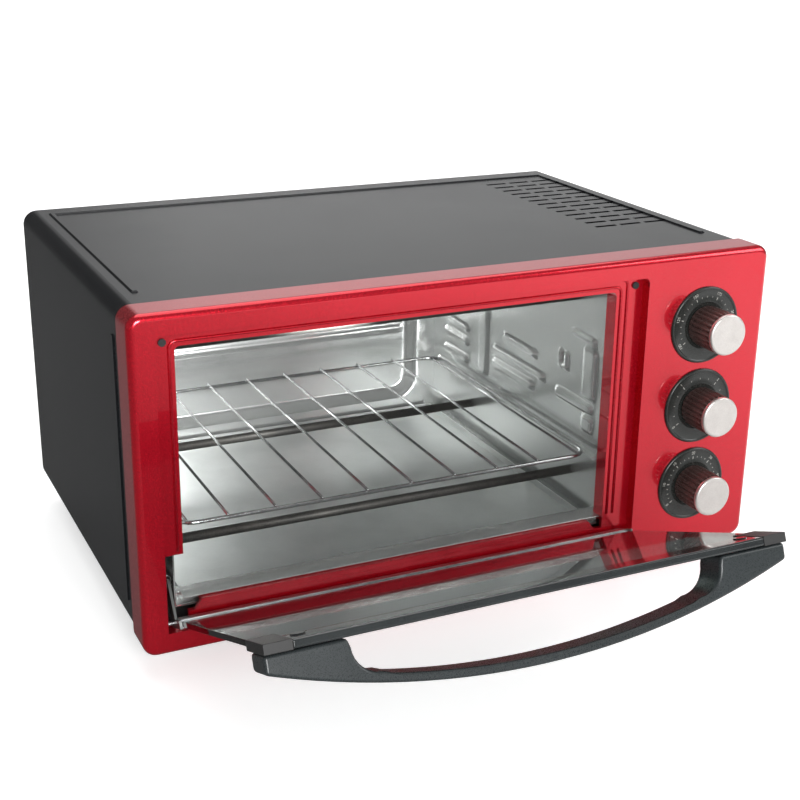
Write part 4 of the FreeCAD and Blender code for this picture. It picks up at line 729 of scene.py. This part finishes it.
KNOBS = (("top", "knob_1"), ("middle", "knob_2"), ("bottom", "knob_3"))
DIAL_MARKS = {"top": ("100", "125", "150", "175", "200", "230"),
              "middle": ("0", "1", "2", "3"),
              "bottom": ("0", "10", "15", "20", "30", "45", "60")}
DIAL_START, DIAL_SWEEP = 215, 250


def dial_marks(name, place, front, finish):
    """Scale of plain numbers and ticks, printed on the dial's flat."""
    x0, z0 = place
    numbers = DIAL_MARKS[name]
    vertices, faces, pieces = [], [], []
    ticks = (len(numbers) - 1) * 4 + 1
    for tick in range(ticks):
        angle = math.radians(DIAL_START - DIAL_SWEEP * tick / (ticks - 1))
        long = tick % 4 == 0
        inner, outer, half = (16.6, 18.4, 0.22) if long else (17.4, 18.4, 0.13)
        out = np.array((math.cos(angle), math.sin(angle)))
        across = np.array((-out[1], out[0])) * half
        start = len(vertices)
        for corner in (out * inner - across, out * outer - across, out * outer + across, out * inner + across):
            vertices.append((x0 + corner[0], front, z0 + corner[1]))
        faces.append((start, start + 1, start + 2, start + 3))
    pieces.append(mesh_object("ticks", np.array(vertices) * MM, faces))
    for place_on, words in enumerate(numbers):
        angle = math.radians(DIAL_START - DIAL_SWEEP * place_on / (len(numbers) - 1))
        curve = bpy.data.curves.new("number", "FONT")
        curve.body = words
        curve.size = 2.7 * MM
        curve.align_x = "CENTER"
        curve.align_y = "CENTER"
        letters = bpy.data.objects.new("number", curve)
        mesh = bpy.data.meshes.new_from_object(letters)
        turn = Matrix.Rotation(angle - math.pi / 2, 4, "Z")
        upright = Matrix.Rotation(math.pi / 2, 4, "X")
        spot = Matrix.Translation(Vector((x0 + 20.6 * math.cos(angle), front, z0 + 20.6 * math.sin(angle))) * MM)
        mesh.transform(spot @ upright @ turn)
        bpy.data.objects.remove(letters)
        thing = bpy.data.objects.new("number", mesh)
        bpy.context.scene.collection.objects.link(thing)
        pieces.append(thing)
    finish_piece(join(f"dial_marks_{name}", pieces), finish, "cabinet")


def knob_stack(finishes, marks):
    """Dials, fluted knobs and their spun ends."""
    for name, body in KNOBS:
        centre = middle(f"knob_{name}") / MM
        place = (centre.x, centre.z)
        low, high = box[f"dial_{name}"][0] / MM, box[f"dial_{name}"][1] / MM
        front, back = low.y, high.y
        dial = turned(f"dial_face_{name}", place, [
            (24.1, back), (24.15, back - 0.5), (23.7, front + 0.15), (23.1, front), (22.4, front + 0.05),
            (22.1, front + 0.45), (21.9, front + 0.5), (15.5, front + 0.5), (15.2, front + 0.3),
            (14.6, front + 0.3), (14.2, front + 0.7), (12.0, front + 1.0), (4.2, front + 1.0)], 96)
        finish_piece(dial, finishes["dial_plastic"], "cabinet", f"dial_{name}", slot="dial_plastic")
        dial_marks(name, place, front + 0.46, marks)
        start, end = box[f"knob_{name}"][0].y / MM, box[f"knob_{name}"][1].y / MM

        def flutes(angle, radius, y):
            if y < start + 0.3 or y > end - 0.1 or radius < 11:
                return radius
            return radius - 0.8 + 0.75 * math.cos(24 * angle)

        knob = turned(f"knob_grip_{name}", place, [
            (8.9, start + 0.05), (11.4, start), (12.3, start + 0.4), (12.85, start + 1.2),
            (12.85, start + 8), (12.85, end - 1.4), (12.6, end - 0.3), (12.2, end), (10.4, end),
            (10.3, start + 5), (5, start + 5), (5, end), (3.1, end)], 24 * 12, flutes)
        finish_piece(knob, finishes["knob_plastic"], body, f"knob_{name}", slot="knob_plastic")
        low = box[f"knob_cap_{name}"][0].y / MM
        cap = turned(f"knob_end_{name}", place, [
            (0.02, low + 0.25), (4, low + 0.24), (9.4, low + 0.16), (10.4, low + 0.1), (11.3, low),
            (12.0, low + 0.12), (12.45, low + 0.5), (12.68, low + 1.0), (12.68, low + 2.4),
            (12.4, low + 2.9), (8.8, low + 2.95), (8.8, low + 4.3)], 96)
        finish_piece(cap, finishes["spun_metal"], body, f"knob_cap_{name}", slot="spun_metal")


# Edge radius of the CAD nodes that show their edges, and finishes other than their slot's
SOFT_EDGES = {"front_bezel": 0.35, "door_glass": 0.3, "door_top_rail": 0.4,
              "door_rail_caps": 0.5, "hinge_bracket_left": 0.2, "hinge_bracket_right": 0.2,
              "door_bottom_rail": 0.25, "cavity_floor": 0.25, "crumb_tray": 0.25}
SCENE_FINISH = {"crumb_tray": "tray_steel", "handle_screws": "black_rail",
                "hinge_bracket_left": "dark_steel", "hinge_bracket_right": "dark_steel"}


def dress_frame(finishes):
    """Material and soft edges for every CAD node that stays in view."""
    slots = {part["node"]: part["material_slot"] for part in frame["record"]["subparts"]}
    for name, thing in nodes.items():
        thing.data.materials.clear()
        thing.data.materials.append(finishes[SCENE_FINISH.get(name, slots[name])])
        thing.data.polygons.foreach_set("use_smooth", [True] * len(thing.data.polygons))
        thing.data.set_sharp_from_angle(angle=math.radians(32))
        if name in SOFT_EDGES:
            weld = thing.modifiers.new("weld", "WELD")
            weld.merge_threshold = 1e-5
            soften(thing, SOFT_EDGES[name], 2)


FINISHES = {
    "red_paint": red_paint(),
    "black_paint": black_paint(),
    "galvanised_sheet": galvanised(),
    "tray_steel": galvanised("tray_steel", (0.66, 0.68, 0.67, 1), (0.40, 0.415, 0.41, 1), 0.3),
    "plain_steel": plain_steel(),
    "dark_steel": galvanised("dark_steel", (0.22, 0.225, 0.22, 1), (0.12, 0.125, 0.12, 1), 0.3),
    "chrome_wire": chrome_wire(),
    "rod_sheath": rod_sheath(),
    "door_glass": door_glass(),
    "black_rail": moulded("black_rail", (0.012, 0.014, 0.015, 1), (0.03, 0.034, 0.035, 1), 0.1, 0.18,
                          Coat_Weight=0.6),
    "handle_plastic": moulded("handle_plastic", (0.018, 0.022, 0.023, 1), (0.032, 0.038, 0.04, 1), 0.24, 0.34),
    "dial_plastic": moulded("dial_plastic", (0.014, 0.015, 0.014, 1), (0.024, 0.026, 0.024, 1), 0.2, 0.3),
    "knob_plastic": moulded("knob_plastic", (0.085, 0.05, 0.045, 1), (0.13, 0.08, 0.073, 1), 0.22, 0.34,
                            Metallic=0.3),
    "spun_metal": spun_metal(),
    "black_plastic": moulded("black_plastic", (0.015, 0.015, 0.015, 1), (0.03, 0.03, 0.03, 1), 0.45, 0.6),
    "ceramic": moulded("ceramic", (0.72, 0.69, 0.62, 1), (0.84, 0.81, 0.75, 1), 0.5, 0.65),
    "rubber": moulded("rubber", (0.012, 0.012, 0.012, 1), (0.03, 0.03, 0.03, 1), 0.6, 0.75),
    "switch_body": moulded("switch_body", (0.6, 0.57, 0.5, 1), (0.74, 0.71, 0.64, 1), 0.4, 0.5),
}


MARKS = moulded("dial_marks", (0.34, 0.33, 0.30, 1), (0.44, 0.43, 0.40, 1), 0.4, 0.5)

bpy.context.scene.view_settings.view_transform = "Standard"
camera()
studio()
dress_frame(FINISHES)
chamber_sides(FINISHES["galvanised_sheet"])
chamber_rear(FINISHES["galvanised_sheet"])
wire_rack(FINISHES["chrome_wire"])
heating_rods(FINISHES["rod_sheath"])
seat_beads(FINISHES["red_paint"])
coil_spring(FINISHES["dark_steel"])
bowed_handle(FINISHES["handle_plastic"])
knob_stack(FINISHES, MARKS)
